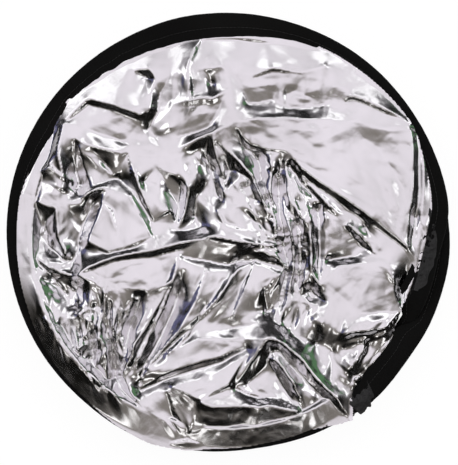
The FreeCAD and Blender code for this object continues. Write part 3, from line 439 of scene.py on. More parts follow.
# each fold: how far the cloth drops close beside it, to the left of its run or, below zero, to the
# right, and its points, as x, y and height in millimetres
folds = [
    # left: a pinched corner with short steep facets
    (0, [(-138, 93, 48), (-151, 75, 41), (-163, 48, 40), (-166, 12, 41), (-166, -18, 44), (-158, -42, 48)]),
    (0, [(-158, -42, 48), (-146, -77, 49), (-137, -108, 47), (-126, -133, 43)]),
    (0, [(-138, 93, 48), (-143, 72, 50), (-138, 47, 47), (-126, 35, 38)]),
    (0, [(-138, 93, 48), (-129, 80, 47), (-128, 57, 40), (-126, 35, 38)]),
    (0, [(-129, 80, 47), (-116, 74, 50), (-96, 69, 50), (-83, 67, 48)]),
    (0, [(-126, 70, 48), (-112, 60, 47), (-94, 47, 44)]),
    (0, [(-126, 66, 46), (-119, 51, 44), (-112, 37, 46)]),
    (0, [(-116, 74, 50), (-103, 58, 44), (-94, 46, 43.5)]),
    (4, [(-122, 32, 49), (-108, 37, 49), (-94, 46, 43)]),
    (0, [(-83, 67, 48), (-92, 50, 46)]),
    (-5, [(-83, 67, 48), (-77, 48, 50), (-68, 24, 49), (-62, 10, 47)]),
    (5, [(-94, 46, 43), (-82, 31, 50), (-70, 10, 50), (-63, -3, 48)]),
    (0, [(-101, 41, 46), (-111, 26, 40), (-120, 8, 39), (-126, -12, 40), (-131, -33, 39)]),
    (0, [(-103, 38, 48), (-110, 20, 47), (-119, -6, 46)]),
    (0, [(-162, 27, 45), (-144, 21, 47), (-143, -2, 46), (-136, -18, 46)]),
    (0, [(-144, 21, 47), (-154, 10, 40), (-152, -12, 38), (-133, -24, 41)]),
    (0, [(-136, -18, 47), (-149, -37, 42), (-137, -52, 40)]),
    (-3, [(-166, -18, 44), (-150, -30, 48), (-131, -33, 47)]),
    (3, [(-160, 52, 44), (-150, 56, 48), (-138, 47, 47)]),
    (-3, [(-119, -6, 47), (-100, -16, 49), (-80, -10, 50), (-63, -3, 49)]),
    (3, [(-108, 28, 47), (-98, 18, 49), (-92, 0, 49)]),
    # top left: a large smooth facet with a steep edge below it
    (-7, [(-135, 96, 46), (-118, 113, 46.5), (-93, 107, 51), (-72, 99, 51), (-62, 103, 48)]),
    (0, [(-138, 93, 48), (-120, 88, 46), (-99, 81, 46), (-81, 74, 46.5), (-55, 66, 46)]),
    (0, [(-78, 137, 46), (-69, 132, 42), (-61, 129, 46)]),
    (0, [(-78, 137, 46), (-66, 139, 47), (-61, 129, 46), (-64, 116, 48), (-62, 103, 48)]),
    (0, [(-46, 135, 47), (-56, 119, 44.5), (-60, 103, 44), (-67, 88, 43), (-60, 81, 44), (-48, 89, 48)]),
    (4, [(-33, 139, 51), (-31, 118, 50), (-31, 105, 50)]),
    (0, [(-31, 105, 50), (-11, 114, 50), (1, 121, 50)]),
    (0, [(-31, 105, 49), (-42, 81, 46), (-16, 87, 46), (1, 121, 49)]),
    (4, [(-20, 167, 43), (-27, 156, 47), (-33, 139, 51)]),
    (0, [(-17, 137, 48), (-5, 141, 49), (11, 126, 47)]),
    (0, [(-17, 137, 48), (-13, 126, 44), (-11, 114, 50)]),
    # the ridge across the upper half, and the crumpled cloth above it on the right
    (0, [(-55, 66, 46), (-39, 72, 48), (-16, 84, 50), (9, 94, 50), (31, 97, 50), (65, 96, 50),
         (106, 95, 49)]),
    (0, [(106, 95, 49), (138, 86, 48), (157, 88, 45)]),
    (-2, [(22, 132, 47), (38, 139, 49), (62, 135, 48)]),
    (0, [(17, 109, 45), (13, 121, 47), (40, 125, 47), (38, 112, 44), (17, 109, 45)]),
    (0, [(47, 120, 47), (62, 135, 48), (83, 141, 48), (80, 107, 46), (48, 105, 46), (47, 120, 47)]),
    (-3, [(100, 111, 46), (105, 116, 49), (118, 111, 49), (136, 103, 48), (156, 94, 46)]),
    (0, [(80, 107, 43), (90, 124, 48), (108, 121, 47)]),
    # right: the large facet with a deep step along its lower edge
    (-9, [(55, 62, 51), (70, 49, 51), (96, 31, 51), (122, 13, 50), (153, -13, 47)]),
    (-4, [(52, 58, 46), (66, 43, 48), (82, 28, 49), (102, 7, 49), (125, -18, 47)]),
    (0, [(114, 80, 47), (127, 72, 46), (138, 81, 48), (154, 73, 46)]),
    (0, [(127, 72, 46), (140, 54, 45), (149, 37, 45.5), (147, 77, 47)]),
    (12, [(156, 88, 46.5), (157, 66, 47.5), (157, 40, 47.5), (154, 14, 47), (153, -13, 47)]),
    (0, [(161, 86, 45), (166, 62, 46), (166, 30, 45), (162, 2, 45), (160, -32, 44), (148, -66, 46)]),
    # middle: streaks that run down to the long ridge
    (0, [(-59, 56, 47), (-44, 49, 48), (-37, 36, 42), (-40, 18, 41), (-47, 2, 46)]),
    (0, [(-71, 42, 46), (-59, 56, 47), (-40, 18, 41)]),
    (0, [(-34, 40, 50), (-36, 20, 48), (-42, 2, 44), (-21, -1, 42), (-28, 15, 40), (-27, 33, 42)]),
    (0, [(-17, 82, 48), (-17, 66, 42), (-11, 50, 40), (-6, 28, 41)]),
    (0, [(-12, 81, 49), (-10, 62, 50), (-6, 28, 41)]),
    (0, [(-3, 75, 48), (2, 54, 41), (-3, 34, 47)]),
    (0, [(5, 43, 48), (15, 32, 49), (20, 45, 42), (9, 53, 46)]),
    (0, [(7, 22, 48), (27, 28, 48)]),
    (0, [(7, 22, 48), (22, 12, 44), (43, -6, 43)]),
    # right of the middle: the bundle of folds gathered in the hand
    (-7, [(-8, 76, 48), (8, 63, 50), (21, 46, 51), (33, 26, 51), (44, -5, 50)]),
    (-4, [(9, 88, 50), (17, 73, 46), (48, 69, 50)]),
    (0, [(27, 64, 41), (30, 38, 44), (40, 8, 43)]),
    (0, [(36, 64, 51), (37, 26, 50), (44, -5, 50)]),
    (0, [(48, 69, 50), (44, 40, 42), (46, 5, 42), (52, -28, 42), (44, -62, 42)]),
    (0, [(50, 62, 50), (49, 30, 51), (53, 0, 50), (56, -28, 49), (44, -78, 46)]),
    (5, [(52, 58, 46), (62, 34, 50), (70, 12, 50), (72, -30, 50), (78, -44, 48)]),
    (0, [(61, 10, 43), (64, -22, 42), (60, -52, 43), (56, -88, 45)]),
    (0, [(76, 24, 47), (77, -2, 45), (76, -30, 42.5)]),
    (0, [(83, 16, 49.5), (84, -14, 46.5), (78, -44, 48)]),
    (-3, [(-62, 10, 48), (-48, 20, 49), (-42, 2, 46)]),
    (3, [(-8, 20, 47), (-2, 6, 49), (16, 2, 48)]),
    (3, [(12, 36, 47), (24, 12, 49), (33, -6, 48)]),
    (3, [(58, 28, 48), (63, 4, 50), (66, -26, 49), (62, -44, 46)]),
    # the long ridge across the lower half and the fan below it
    (-9, [(-127, -34, 51), (-96, -19, 52), (-63, -15, 51), (-37, -8, 51), (-20, -2, 50)]),
    (-4, [(-20, -2, 50), (11, -7, 52), (39, -12, 51), (51, -30, 46)]),
    (0, [(-37, -20, 46), (0, -27, 44), (24, -23, 44), (51, -30, 46)]),
    (-7, [(-41, -20, 49), (-46, -41, 49), (-64, -72, 50), (-79, -96, 50), (-88, -120, 48), (-72, -149, 46)]),
    (0, [(-36, -28, 49), (-43, -55, 41), (-59, -92, 41), (-77, -133, 42)]),
    (-7, [(-17, -30, 50), (-26, -58, 50), (-40, -82, 49), (-57, -101, 46)]),
    (4, [(11, -27, 50), (-7, -54, 50), (-29, -75, 49), (-57, -101, 46), (-75, -119, 45)]),
    (-6, [(24, -24, 46), (15, -47, 49), (5, -70, 47)]),
    (5, [(45, -34, 47), (28, -50, 48), (33, -68, 42)]),
    (0, [(4, -81, 44), (26, -76, 48), (36, -87, 55)]),
    (-3, [(-48, -46, 47), (-56, -70, 49), (-70, -96, 48), (-80, -118, 46)]),
    (3, [(-18, -60, 47), (-34, -86, 49), (-52, -104, 47)]),
    (-3, [(-2, -40, 47), (-10, -58, 49), (-22, -72, 48)]),
    # lower left: upright folds between the long ridge and the rim
    (0, [(-127, -36, 50), (-96, -46, 50), (-62, -49, 50), (-46, -41, 50)]),
    (0, [(-127, -36, 50), (-128, -50, 40), (-122, -60, 47), (-140, -72, 46), (-132, -102, 46),
         (-123, -73, 47)]),
    (5, [(-114, -47, 49), (-115, -85, 46), (-118, -128, 41)]),
    (6, [(-103, -48, 50), (-102, -90, 47), (-95, -134, 42)]),
    (0, [(-91, -48, 50), (-90, -82, 50), (-86, -104, 45)]),
    (0, [(-72, -52, 46), (-83, -78, 40), (-86, -104, 45)]),
    (-4, [(-128, -68, 47), (-126, -90, 49), (-130, -112, 45)]),
    (-4, [(-109, -60, 48), (-109, -88, 49), (-112, -118, 46), (-108, -136, 43)]),
    (-4, [(-97, -58, 48), (-96, -84, 49), (-92, -108, 46)]),
    (-3, [(-80, -56, 48), (-84, -70, 49), (-94, -84, 47)]),
    # bottom: a smooth band, a lobe, and the loose cloth that passes over the rim
    (0, [(-77, -133, 42), (-65, -108, 49), (-24, -89, 50), (14, -90, 49), (36, -87, 55)]),
    (-9, [(-77, -133, 42), (-44, -115, 49), (-6, -104, 49), (16, -96, 48)]),
    (0, [(-46, -129, 48), (-10, -118, 49), (14, -103, 49)]),
    (-3, [(-46, -129, 49), (-24, -140, 52), (1, -127, 52), (16, -103, 50)]),
    (-6, [(-72, -149, 46), (-32, -170, 46)]),
    (-5, [(-50, -133, 48), (-43, -153, 46), (-32, -170, 46), (-25, -141, 50)]),
    (0, [(-120, -136, 44), (-106, -150, 39), (-93, -166, 45), (-82, -148, 40), (-95, -134, 43)]),
    (0, [(-93, -166, 43), (-32, -174, 44), (31, -175, 44.5), (71, -166, 44), (106, -160, 45)]),
    (0, [(-24, -142, 54), (-10, -146, 54), (14, -145, 54), (34, -143, 53), (62, -150, 49)]),
    (0, [(14, -145, 54), (6, -174, 43)]),
    (0, [(34, -143, 53), (40, -172, 43)]),
    (3, [(-62, -180, 43), (-34, -176, 46), (-8, -180, 43)]),
    # lower right: the tent, round lobes and the crumpled corner
    (-6, [(36, -87, 56), (49, -92, 55), (61, -104, 54), (75, -123, 52), (92, -139, 49), (106, -160, 45)]),
    (0, [(58, -108, 47), (70, -126, 45), (86, -142, 43)]),
    (0, [(36, -87, 56), (25, -100, 53), (15, -115, 51), (7, -130, 48)]),
    (0, [(37, -97, 47.5), (36, -107, 47), (27, -118, 46), (17, -128, 45)]),
    (0, [(36, -107, 47), (43, -118, 44), (49, -132, 44), (55, -145, 46)]),
    (-3, [(37, -106, 51), (45, -111, 52), (55, -125, 51), (61, -137, 49), (65, -151, 46)]),
    (0, [(44, -98, 49), (52, -110, 46), (61, -122, 46)]),
    (-4, [(7, -130, 48), (30, -139, 48), (56, -146, 47)]),
    (0, [(79, -44, 48), (94, -27, 47.5), (124, -25, 47.5), (140, -38, 48), (148, -66, 46)]),
    (0, [(107, -68, 48), (148, -66, 46)]),
    (0, [(122, -38, 48.5), (112, -54, 48), (107, -68, 48), (101, -84, 51), (135, -80, 50), (148, -66, 46)]),
    (0, [(71, -48, 42), (84, -60, 47), (80, -76, 49), (75, -95, 42)]),
    (0, [(101, -84, 51), (89, -100, 43), (88, -128, 46)]),
    (0, [(101, -84, 51), (98, -98, 44), (110, -108, 48), (118, -92, 45), (135, -80, 50)]),
    (0, [(101, 8, 46), (117, -12, 41), (125, -18, 47), (129, -12, 48), (117, 5, 44)]),
    (0, [(125, -18, 47), (105, -20, 43.5), (85, -23, 43)]),
    (0, [(152, -34, 42), (147, -50, 40), (148, -66, 46)]),
]


def periodic(table, azimuth):
    # a value between the entries of a table that goes once round
    keys = sorted(table)
    values = [table[k] for k in keys]
    return np.interp(np.degrees(azimuth) % 360, keys + [keys[0] + 360], values + values[:1])


def withDrops(lines):
    # beside each fold that drops, a second line: close to the first, lower, and nearer at its ends
    shape = silver["drop"]
    result = []
    for drop, line in lines:
        result.append(line)
        if not drop:
            continue
        points = np.array(line, float)
        runs = np.diff(points[:, :2], axis=0)
        runs /= np.linalg.norm(runs, axis=1)[:, None]
        ahead = np.vstack([runs, runs[-1:]]) + np.vstack([runs[:1], runs])
        ahead /= np.linalg.norm(ahead, axis=1)[:, None]
        share = np.ones(len(points))
        share[[0, -1]] = shape["atEnds"]
        width = shape["width"] + shape["widthPerDrop"] * abs(drop)
        side = np.column_stack([-ahead[:, 1], ahead[:, 0]]) * math.copysign(width, drop)
        lower = np.column_stack([points[:, :2] + side * share[:, None],
                                 points[:, 2] - shape["slope"] * width * share])
        result.append([tuple(p) for p in lower])
    return result


def foldNetwork(lines, edge, edgeHeight):
    # main folds joined into facets; gives corner points and triangles
    points, edges = [], []
    ring = np.radians(np.arange(0, 360, silver["borderStep"]))
    radius = periodic(edge, ring)
    for a, r in zip(ring, radius):
        points.append((r * math.cos(a), r * math.sin(a), edgeHeight(a)))
    edges += [(i, (i + 1) % len(ring)) for i in range(len(ring))]
    for line in lines:
        start = len(points)
        points += line
        edges += [(start + i, start + i + 1) for i in range(len(line) - 1)]
    flat = [Vector(p[:2]) for p in points]
    corners, _, triangles, origins, _, _ = geometry.delaunay_2d_cdt(flat, edges, [], 0, silver["joined"])
    known = np.array(points)
    first, last = known[[a for a, b in edges]], known[[b for a, b in edges]]
    heights = []
    for corner, origin in zip(corners, origins):
        if origin:
            heights.append(float(np.mean([points[i][2] for i in origin])))
            continue
        # where two folds cross, the mean of their heights there
        run = last[:, :2] - first[:, :2]
        share = np.sum((np.array(corner) - first[:, :2]) * run, axis=1) / np.sum(run * run, axis=1)
        share = np.clip(share, 0, 1)
        gaps = np.linalg.norm(first[:, :2] + share[:, None] * run - np.array(corner), axis=1)
        near = np.argsort(gaps)[:2]
        heights.append(float(np.mean(first[near, 2] + share[near] * (last[near, 2] - first[near, 2]))))
    return np.array([(*c, h) for c, h in zip(corners, heights)]), np.array(triangles)


def heightOver(corners, triangles, places):
    # height of the facets over each place, and nan where there is none
    high = np.full(len(places), np.nan)
    for triangle in triangles:
        a, b, c = corners[triangle]
        low = np.minimum(np.minimum(a, b), c)[:2] - 1e-6
        top = np.maximum(np.maximum(a, b), c)[:2] + 1e-6
        inside = np.nonzero(np.isnan(high) & np.all((places >= low) & (places <= top), axis=1))[0]
        area = (b[0] - a[0]) * (c[1] - a[1]) - (c[0] - a[0]) * (b[1] - a[1])
        if not len(inside) or abs(area) < 1e-9:
            continue
        p = places[inside]
        u = ((p[:, 0] - a[0]) * (c[1] - a[1]) - (c[0] - a[0]) * (p[:, 1] - a[1])) / area
        v = ((b[0] - a[0]) * (p[:, 1] - a[1]) - (p[:, 0] - a[0]) * (b[1] - a[1])) / area
        fits = (u >= -1e-4) & (v >= -1e-4) & (u + v <= 1 + 1e-4)
        high[inside[fits]] = a[2] + u[fits] * (b[2] - a[2]) + v[fits] * (c[2] - a[2])
    return high


def triangleGrid(edge, spacing):
    # an even net of triangles, trimmed to the cloth's outline and pulled on to it
    reach = max(edge.values()) + spacing
    rowGap = spacing * math.sqrt(3) / 2
    rows = int(reach / rowGap) + 1
    columns = int(reach / spacing) + 1
    net, index = [], {}
    for j in range(-rows, rows + 1):
        for i in range(-columns, columns + 1):
            x, y = (i + 0.5 * (j % 2)) * spacing, j * rowGap
            r = math.hypot(x, y)
            limit = float(periodic(edge, math.atan2(y, x)))
            if r <= limit + 0.45 * spacing:
                pull = min(1.0, limit / r) if r > limit - 0.45 * spacing else 1.0
                index[i, j] = len(net)
                net.append((x * pull, y * pull))
    faces = []
    for (i, j) in index:
        right, up = (i + 1, j), (i + j % 2, j + 1)
        upLeft = (up[0] - 1, up[1])
        if right in index and up in index:
            faces.append((index[i, j], index[right], index[up]))
        if up in index and upLeft in index:
            faces.append((index[i, j], index[up], index[upLeft]))
    # each point's six neighbours; at the border the point stands in for one that is missing
    steps = [[(1, 0), (-1, 0), (a - 1, 1), (a, 1), (a - 1, -1), (a, -1)] for a in (0, 1)]
    around = [[index.get((i + right, j + up), here) for right, up in steps[j % 2]]
              for (i, j), here in index.items()]
    return np.array(net), faces, np.array(around)


def pullToLines(places, lines, reach):
    # moves the net points near a fold on to it, so that creases run straight
    moved = places.copy()
    best = np.full(len(places), reach)
    for line in lines:
        for a, b in zip(line, line[1:]):
            a, b = np.array(a[:2], float), np.array(b[:2], float)
            run = b - a
            t = np.clip(((places - a) @ run) / max(run @ run, 1e-9), 0, 1)
            foot = a + t[:, None] * run
            gap = np.linalg.norm(places - foot, axis=1)
            near = gap < best
            moved[near] = foot[near]
            best[near] = gap[near]
    return moved, best < reach


def relaxed(high, around, held, softness, spacing):
    # cloth between two folds evens out, while the points on the folds stay
    pull = (spacing / softness["reach"]) ** 2 / softness["hold"]
    now = high.copy()
    for _ in range(softness["steps"]):
        now = np.where(held, high, (1 - pull) * now[around].mean(axis=1) + pull * high)
    return now


def crushed(places, lines, creases):
    # many short straight creases, each a low roof that dies away along its length; most of them run
    # about the way of the nearest main fold
    draw = np.random.default_rng(creases["seed"])
    relief = np.zeros(len(places))
    first = np.array([a[:2] for _, line in lines for a in line[:-1]], float)
    last = np.array([b[:2] for _, line in lines for b in line[1:]], float)
    run = last - first
    for _ in range(creases["count"]):
        r = silver["creasedRadius"] * math.sqrt(draw.uniform())
        a = draw.uniform(0, 2 * math.pi)
        centre = np.array([r * math.cos(a), r * math.sin(a)])
        share = np.clip(np.sum((centre - first) * run, axis=1) / np.sum(run * run, axis=1), 0, 1)
        nearest = run[np.argmin(np.linalg.norm(first + share[:, None] * run - centre, axis=1))]
        along, across = axesAt(math.atan2(nearest[1], nearest[0]) + draw.normal(0, silver["creaseSpread"]))
        long, wide = draw.uniform(*creases["longs"]), draw.uniform(*creases["wides"])
        local = places - centre
        u, v = local @ along / long, local @ across / wide
        near = (np.abs(u) < 1) & (np.abs(v) < 1)
        roof = (1 - np.abs(v[near])) * (1 - np.abs(u[near]))
        relief[near] += draw.choice([-1, 1]) * draw.uniform(0.3, 1.0) * creases["depth"] * wide * roof
    return relief


rippleScale = 0.045  # of the plies' ripples, per millimetre


def hiddenPlies(radius, low, high, plies, step, seed, drift):
    # cloth folded to and fro in plies between two heights; one sheet without a cut
    rows = int(2 * radius / step) + 1
    perPly = int(2 * radius / step)
    y = np.linspace(-0.985, 0.985, rows) * radius  # stops just short of the ends, where a row has no width
    share = np.linspace(0, 1, perPly)
    points = np.empty((rows, plies * perPly, 3))
    gap = (high - low) / plies
    half = np.sqrt(radius**2 - y**2)
    for ply in range(plies):
        across = share if ply % 2 == 0 else 1 - share
        block = points[:, ply * perPly:(ply + 1) * perPly]
        block[..., 0] = half[:, None] * (2 * across[None, :] - 1)
        block[..., 1] = y[:, None]
        block[..., 2] = low + gap * (ply + 0.5)
    flat = points.reshape(-1, 3)
    flat[:, 2] += gap * drift * softNoise(flat, rippleScale, seed)
    return flat, gridFaces(rows, plies * perPly)


def silverEdgeHeight(azimuth):
    return silver["edgeHeight"] + 0.5 * math.sin(3 * azimuth) + 0.3 * math.sin(7 * azimuth + 1)


def hangCloth(around, held, high):
    # the facets' heights, softened into cloth that is nowhere steeper than it can stand
    high = relaxed(high, around, held, silver["softness"], silver["spacing"])
    for _ in range(silver["steepSteps"]):
        rise = high[around] - high[:, None]
        spare = np.maximum(np.abs(rise) - silver["steepest"] * silver["spacing"], 0)
        high = high + 0.5 * (np.sign(rise) * spare).mean(axis=1)
    for _ in range(silver["roundOff"]):
        high = 0.5 * high + 0.5 * high[around].mean(axis=1)
    return high


def bundleStrength(net):
    strongest = np.zeros(len(net))
    for x, y, reachX, reachY, strength in silver["bundles"]:
        gap = ((net[:, 0] - x) / reachX) ** 2 + ((net[:, 1] - y) / reachY) ** 2
        strongest = np.maximum(strongest, strength * np.exp(-(gap**2)))
    return strongest


def borderHeight(radius, turn, edge, relief):
    # the cloth's border on the coil; it falls outwards where it is loose, and tucks in under the hem
    roll = 0.0
    for slope, inner, outer, middle, spread in silver["looseBorders"]:
        loose = np.exp(-(np.abs(away(turn, middle) / spread) ** silver["looseFall"]))
        roll = roll + loose * slope * np.clip(outer - radius, 0, outer - inner)
    tucked = silver["tucked"]
    covered = edge < 1000 * (hoop["radius"] - rim["reach"] + rim["overlap"])
    last = np.clip((radius - edge + tucked["width"]) / tucked["width"], 0, 1)
    border = silver["lieHeight"] + roll + np.where(covered, -tucked["depth"] * last, tucked["loose"])
    return border + np.clip((edge - radius) / silver["borderRelief"], 0, 1) * relief


def makeSilver():
    lines = withDrops(folds)
    corners, triangles = foldNetwork(lines, silver["edge"], silverEdgeHeight)
    net, faces, around = triangleGrid(silver["edge"], silver["spacing"])
    net, held = pullToLines(net, lines, silver["spacing"] * silver["snap"])
    radius = np.hypot(net[:, 0], net[:, 1])
    turn = np.arctan2(net[:, 1], net[:, 0])
    edge = periodic(silver["edge"], turn)
    high = silver["middle"] + silver["boldness"] * (heightOver(corners, triangles, net) - silver["middle"])
    high = np.where(np.isnan(high), [silverEdgeHeight(a) for a in turn], high)
    high = hangCloth(around, held | (radius > edge - silver["spacing"]), high)
    # small relief, calm at the border and at the top
    top = silver["calmTop"]
    north = np.clip(net[:, 1] / top["north"], 0, 1)
    calm = np.clip((edge - radius) / silver["calmBorder"], 0, 1)
    calm *= 1 - north * np.clip((radius - top["from"]) / top["over"], 0, 1) * top["share"]
    busy = np.full(len(net), silver["quiet"])
    for x, y, reach, strength in silver["crumpled"]:
        busy += (strength - busy) * np.exp(-(((net[:, 0] - x) ** 2 + (net[:, 1] - y) ** 2) / reach**2))
    flat = np.column_stack([net, np.zeros(len(net))])
    bulge = silver["bulge"]
    high += calm * bulge["height"] * softNoise(flat, bulge["scale"], bulge["seed"])
    relief = busy * crushed(net, folds, silver["creases"])
    high += calm * relief
    high += calm * bundleStrength(net) * crushed(net, folds, silver["bundleCreases"])
    # the coil carries the border
    border = borderHeight(radius, turn, edge, (1 - top["share"] * north) * np.abs(relief))
    start, end = silver["carried"]
    overCoil = np.clip((radius - start) / (end - start), 0, 1)
    high = np.maximum(high, silver["coilHeight"] + (border - silver["coilHeight"]) * overCoil)
    shown = np.column_stack([net, high])
    under, underFaces = hiddenPlies(**silver["hidden"])
    allFaces = [tuple(f) for f in faces] + [tuple(int(i) + len(shown) for i in f) for f in underFaces]
    piece = meshPiece("silverCloth", np.vstack([shown, under]) * 0.001, allFaces, finishes["silver_fabric"])
    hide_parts("silver_cloth")
    print("silver cloth:", len(allFaces), "faces, height", round(high.min(), 1), "to", round(high.max(), 1))


makeSilver()


# The other cloths, folded to and fro inside the coil; radii in millimetres

foldedCloths = {
    "blackCloth": {"node": "black_cloth", "slot": "black_fabric", "radius": 160.0, "seed": 31},
    "goldLining": {"node": "gold_cloth", "slot": "gold_fabric", "radius": 161.0, "seed": 32},
    "diffuserCloth": {"node": "diffuser_cloth", "slot": "diffuser_fabric", "radius": 161.0, "seed": 33},
    "whiteLining": {"node": "white_cloth", "slot": "white_fabric", "radius": 161.0, "seed": 34},
}
foldedPlies = {"plies": 10, "step": 7.0, "drift": 0.3, "margin": 0.3}

for name, cloth in foldedCloths.items():
    low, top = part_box(cloth["node"])
    points, faces = hiddenPlies(cloth["radius"], low[2] * 1000 + foldedPlies["margin"],
                                top[2] * 1000 - foldedPlies["margin"], foldedPlies["plies"],
                                foldedPlies["step"], cloth["seed"], foldedPlies["drift"])
    piece = meshPiece(name, points * 0.001, faces, finishes[cloth["slot"]])
    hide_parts(cloth["node"])
print("folded cloths made:", len(foldedCloths))


# Black edge tape round the hoop, and the casing inside it

hem = {
    "from": 0.72, "curve": 0.8, "topFrom": 0.030, "topOver": 0.004, "lap": 0.002,
    "ragged": 0.0006, "raggedScale": 26, "raggedSeed": 7.0, "torn": 0.0016, "tornAt": 128, "tornWide": 20,
    "sag": 0.0012, "uneven": 0.4, "unevenSeed": 8, "unevenWaves": (4, 15),
}


def flangeToSilver(azimuth, high, out, rise):
    # on the top turn the upper hem reaches in over the border of the silver cloth
    columns = out.shape[1]
    share = np.clip((np.arange(columns) / (columns - 1) - hem["from"]) / (1 - hem["from"]), 0, 1)[None, :]
    onTop = smoothStep((high - hem["topFrom"]) / hem["topOver"])[:, None]
    turned = [Vector((math.cos(a) * hem["raggedScale"], math.sin(a) * hem["raggedScale"], hem["raggedSeed"]))
              for a in azimuth]
    ragged = np.array([noise.noise(place) for place in turned])
    torn = np.exp(-((away(azimuth, hem["tornAt"]) / hem["tornWide"]) ** 2))
    border = periodic(silver["edge"], azimuth) * 0.001 - rim["overlap"]
    border += ragged * (hem["ragged"] + hem["torn"] * torn)
    target = np.minimum(border - hoop["radius"], -rim["reach"])[:, None]
    spread = np.clip(out / -rim["reach"], 0, 1) * share ** hem["curve"]
    out = out + onTop * spread * (target + rim["reach"])
    over = onTop * np.clip((hoop["radius"] - rim["reach"] - border) / hem["lap"], 0, 1)[:, None]
    uneven = hem["uneven"] * waves(azimuth, hem["unevenSeed"], *hem["unevenWaves"])
    sag = hem["sag"] * share**2 * (1 + uneven[:, None])
    return out, rise - (1 - over) * sag * (1 + onTop) + over * share * rim["hemLift"]


def turnLength(first, last):
    return math.radians(last - first) * hoop["radius"]


tapeFirst = alongOf(rim["zipEnd"], rim["zipLap"]) - 1080 + 0.1
tapeLast = alongOf(rim["zipStart"], rim["zipLap"]) - 0.1
tapeCorners = [(-rim["reach"], -rim["high"]), (rim["out"], -rim["high"]), (rim["out"], rim["high"]),
               (-rim["reach"], rim["high"])]
tapeSection = sectionLine(tapeCorners, rim["corner"], rim["columns"])
edgeTape = sweep("edgeTape", tapeFirst, tapeLast, tapeSection, "edge_tape", gather=rim["gather"], seed=2,
                 inner=flangeToSilver)
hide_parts("cover_edge_tape")
turnLength(tapeFirst, tapeLast)

casing = {"out": 0.0022, "high": 0.0054, "corner": 0.0014, "gap": 0.0002, "columns": 17, "seamAzimuth": 215.0}
ring = [(-casing["out"], 0), (-casing["out"], -casing["high"]), (casing["out"], -casing["high"]),
        (casing["out"], casing["high"]), (-casing["out"], casing["high"]), (-casing["out"], casing["gap"])]
casingSection = sectionLine(ring, casing["corner"], casing["columns"])
seam = alongOf(casing["seamAzimuth"], 1)
seamFirst, seamLast = seam + 0.2, seam + 1079.8
hoopCasing = sweep("hoopCasing", seamFirst, seamLast, casingSection, "nylon_casing", step=1.5, wobble=0.4)
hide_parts("hoop_casing")
turnLength(seamFirst, seamLast)
print("edge tape and casing made")


# Two places where the black cloth has come up between the silver cloth and the rim: azimuths in
# degrees, the rest in millimetres

blackPatches = [
    {"name": "crumpledHem", "azimuth": (-17.0, 9.0), "radius": (165.0, 178.0), "height": 42.9, "rise": 1.6,
     "creases": 260, "long": (2, 7), "seed": 3},
    {"name": "cornerFlap", "azimuth": (303.6, 313.5), "radius": (165.0, 191.0), "height": 43.0, "rise": 2.6,
     "creases": 40, "long": (7, 16), "seed": 8},
]
patchShape = {"spacing": 0.55, "ragged": 0.12, "taper": 0.4, "slender": 0.3, "steep": 0.12, "lowest": -0.4}


def makeBlackPatch(patch):
    # a crumpled strip, thin at its ends, that lies on the rim
    shape = patchShape
    draw = np.random.default_rng(patch["seed"])
    (start, end), (inner, outer) = patch["azimuth"], patch["radius"]
    columns = int((outer - inner) / shape["spacing"])
    rows = int(math.radians(end - start) * outer / shape["spacing"])
    share, across = np.meshgrid(np.linspace(0, 1, rows), np.linspace(0, 1, columns), indexing="ij")
    azimuth = np.radians(start + (end - start) * share)
    ragged = shape["ragged"] * waves(share[:, :1] * 2 * math.pi, patch["seed"], 2, 9)
    width = np.sin(math.pi * share) ** shape["taper"]
    radius = inner + (outer - inner) * across * np.clip(width + ragged, 0.3, 1.0)
    places = np.column_stack([(radius * np.cos(azimuth)).ravel(), (radius * np.sin(azimuth)).ravel()])
    high = np.zeros(len(places))
    middle = places.mean(axis=0)
    spread = np.ptp(places, axis=0) / 2
    for _ in range(patch["creases"]):
        centre = middle + spread * draw.uniform(-1, 1, 2)
        along, over = axesAt(draw.uniform(0, math.pi))
        long = draw.uniform(*patch["long"])
        u, v = (places - centre) @ along / long, (places - centre) @ over / (long * shape["slender"])
        roof = np.clip(1 - np.abs(u), 0, 1) * np.clip(1 - np.abs(v), 0, 1)
        high += draw.uniform(-0.5, 1.0) * roof * long * shape["steep"]
    # flat at all four sides
    calm = np.minimum(np.minimum(across, 1 - across) * 5, 1) * np.minimum(np.minimum(share, 1 - share) * 8, 1)
    high = patch["height"] + calm.ravel() * np.clip(high, shape["lowest"], patch["rise"])
    points = np.column_stack([places, high]) * 0.001
    piece = meshPiece(patch["name"], points, gridFaces(rows, columns), glossyBlack)
    flat = math.radians(end - start) * (inner + outer) / 2000, (outer - inner) / 1000


for patch in blackPatches:
    makeBlackPatch(patch)
print("black patches made:", len(blackPatches))


# The zip: two tapes, two rows of teeth and the tabs that cover its ends

zipSizes = {
    "tapeOut": 0.00494, "tapeHigh": 0.0064, "corner": 0.0016, "tapeGather": 0.00012, "tapeGap": 0.05,
    "chainNear": 0.0006, "chainFar": 0.00225, "chainThick": 0.0016, "stopAngle": 0.94,
    "tabAngle": 2.5, "tabOut": 0.0059, "tabHigh": 0.0065, "tabCorner": 0.001, "tabGather": 0.0001,
    "toothPitch": 0.00152, "toothShare": 0.72,
}


def makeZipTape(name, side, node, seed):
    z = zipSizes
    corners = [(-rim["reach"], side * z["tapeHigh"]), (z["tapeOut"], side * z["tapeHigh"]),
               (z["tapeOut"], side * z["chainFar"])]
    section = sectionLine(corners, z["corner"], rim["zipColumns"])
    first = alongOf(rim["zipStart"], rim["zipLap"]) + z["tapeGap"]
    last = alongOf(rim["zipEnd"], rim["zipLap"]) - z["tapeGap"]
    piece = sweep(name, first, last, section, "zip_cloth", gather=z["tapeGather"], seed=seed, wobble=0.0)
    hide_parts(node)
    turnLength(first, last)
    return piece


